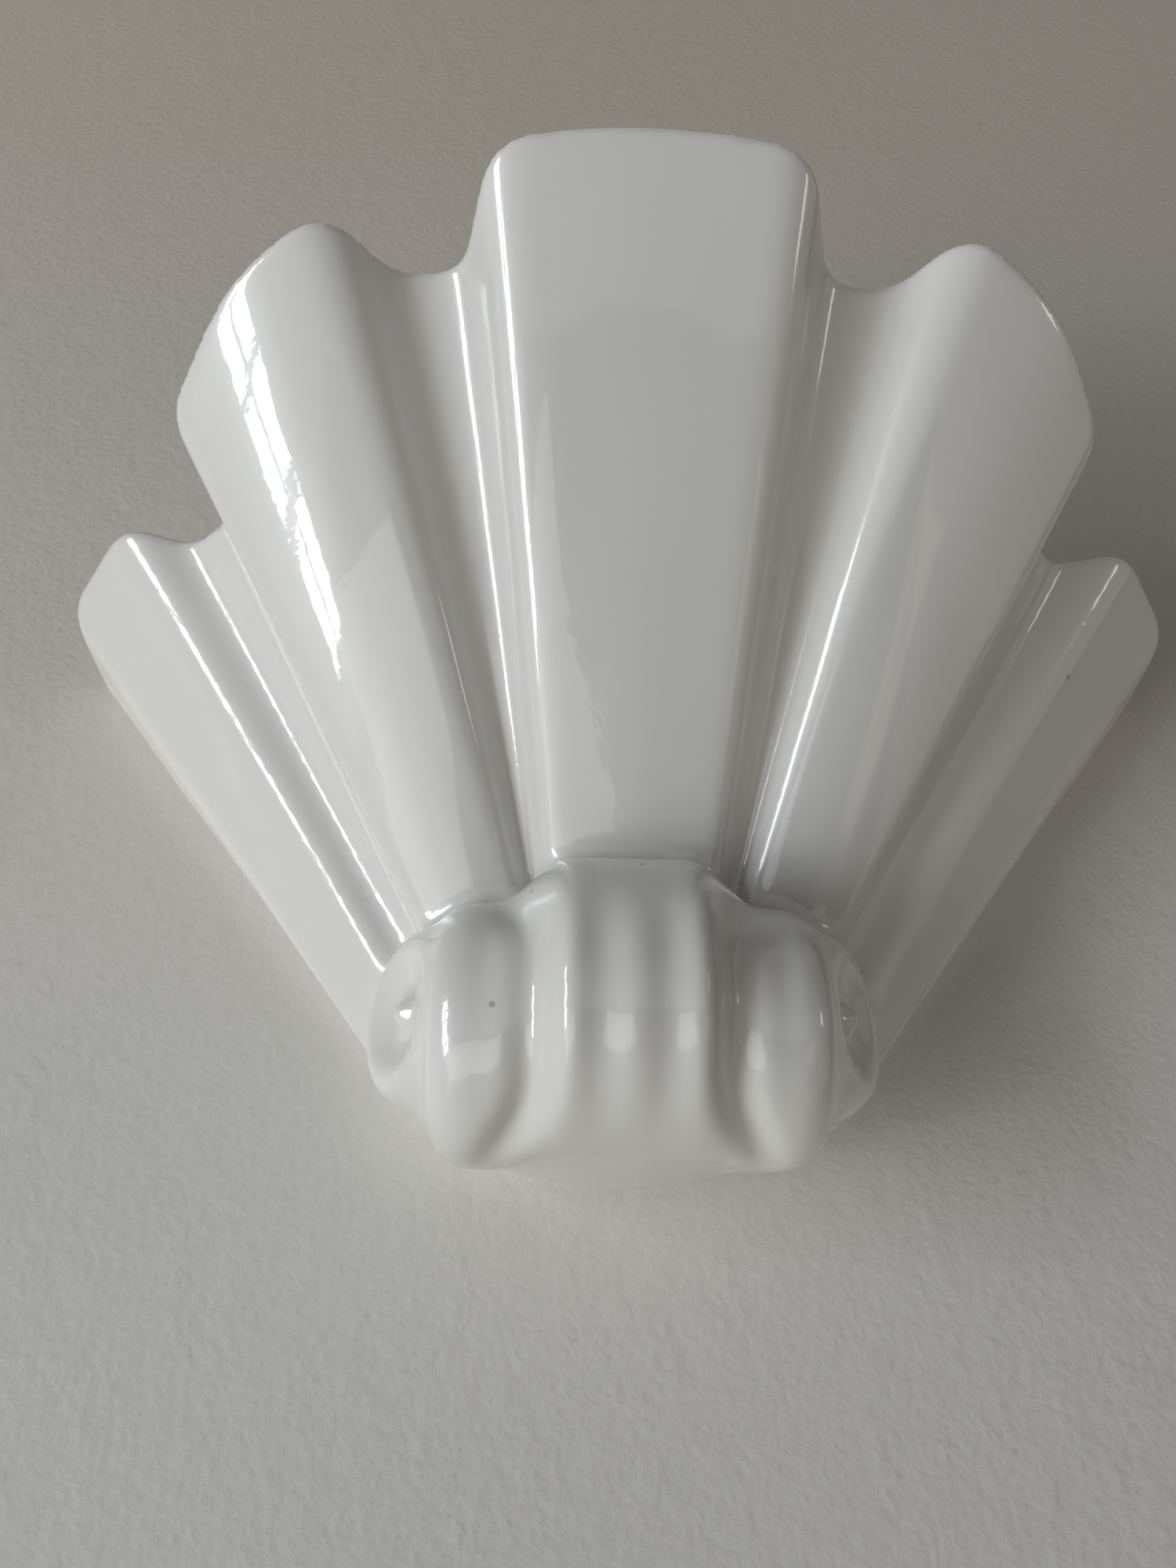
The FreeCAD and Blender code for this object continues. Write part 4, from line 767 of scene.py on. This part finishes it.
def room_world():
    """A dim room, lighter low and to the left; what is seen of it is a pale backdrop."""
    world = bpy.data.worlds.new("room")
    world.use_nodes = True
    tree = world.node_tree
    way = tree.nodes.new("ShaderNodeTexCoord").outputs["Generated"]
    parts = tree.nodes.new("ShaderNodeSeparateXYZ")
    tree.links.new(way, parts.inputs["Vector"])
    level = spread(tree, parts.outputs["Z"], -1, 1, 0, 1)
    rise = ramp(tree, level, ((0.15, (0.62, 0.61, 0.58)), (0.42, (0.50, 0.475, 0.43)),
                              (0.75, (0.27, 0.235, 0.195))))
    leftward = spread(tree, parts.outputs["X"], -0.75, 0.75, 1.35, 0.30)
    pools = spread(tree, noise(tree, way, 2.6, 2, 0.5, 0.6), 0.42, 0.60, 0.55, 1.5)
    lit = mixed(tree, 1.0, rise, leftward, "MULTIPLY")
    lit = mixed(tree, 1.0, lit, pools, "MULTIPLY")
    lit = mixed(tree, 1.0, lit, (0.13, 0.13, 0.13), "MULTIPLY")
    path = tree.nodes.new("ShaderNodeLightPath").outputs
    shows = maths(tree, "MAXIMUM", path["Is Camera Ray"], path["Is Glossy Ray"])
    shows = maths(tree, "MAXIMUM", shows, path["Is Transmission Ray"])
    tree.links.new(mixed(tree, shows, lit, (0.56, 0.545, 0.52)),
                   tree.nodes["Background"].inputs["Color"])
    return world


bpy.context.scene.world = room_world()

# ------------------------------------------------------------------ camera
EYE = Vector((-0.0187, -0.290, -0.1684))
YAW, PITCH, ROLL = (math.radians(angle) for angle in (1.8, 28.96, 0.22))


def photo_camera():
    """The camera that took the photo, fitted to the object."""
    ahead = Vector((math.sin(YAW) * math.cos(PITCH), math.cos(YAW) * math.cos(PITCH),
                    math.sin(PITCH)))
    level_right = Vector((math.cos(YAW), -math.sin(YAW), 0))
    level_up = level_right.cross(ahead)
    right = math.cos(ROLL) * level_right + math.sin(ROLL) * level_up
    up = -math.sin(ROLL) * level_right + math.cos(ROLL) * level_up
    lens = bpy.data.cameras.new("camera")
    lens.lens, lens.sensor_width, lens.clip_start = 27, 36, 0.01
    camera = bpy.data.objects.new("camera", lens)
    rows = [(right[i], up[i], -ahead[i], EYE[i]) for i in range(3)]
    camera.matrix_world = Matrix(rows + [(0, 0, 0, 1)])
    bpy.context.scene.collection.objects.link(camera)
    return camera


bpy.context.scene.camera = photo_camera()
bpy.context.scene.view_settings.view_transform = "Standard"
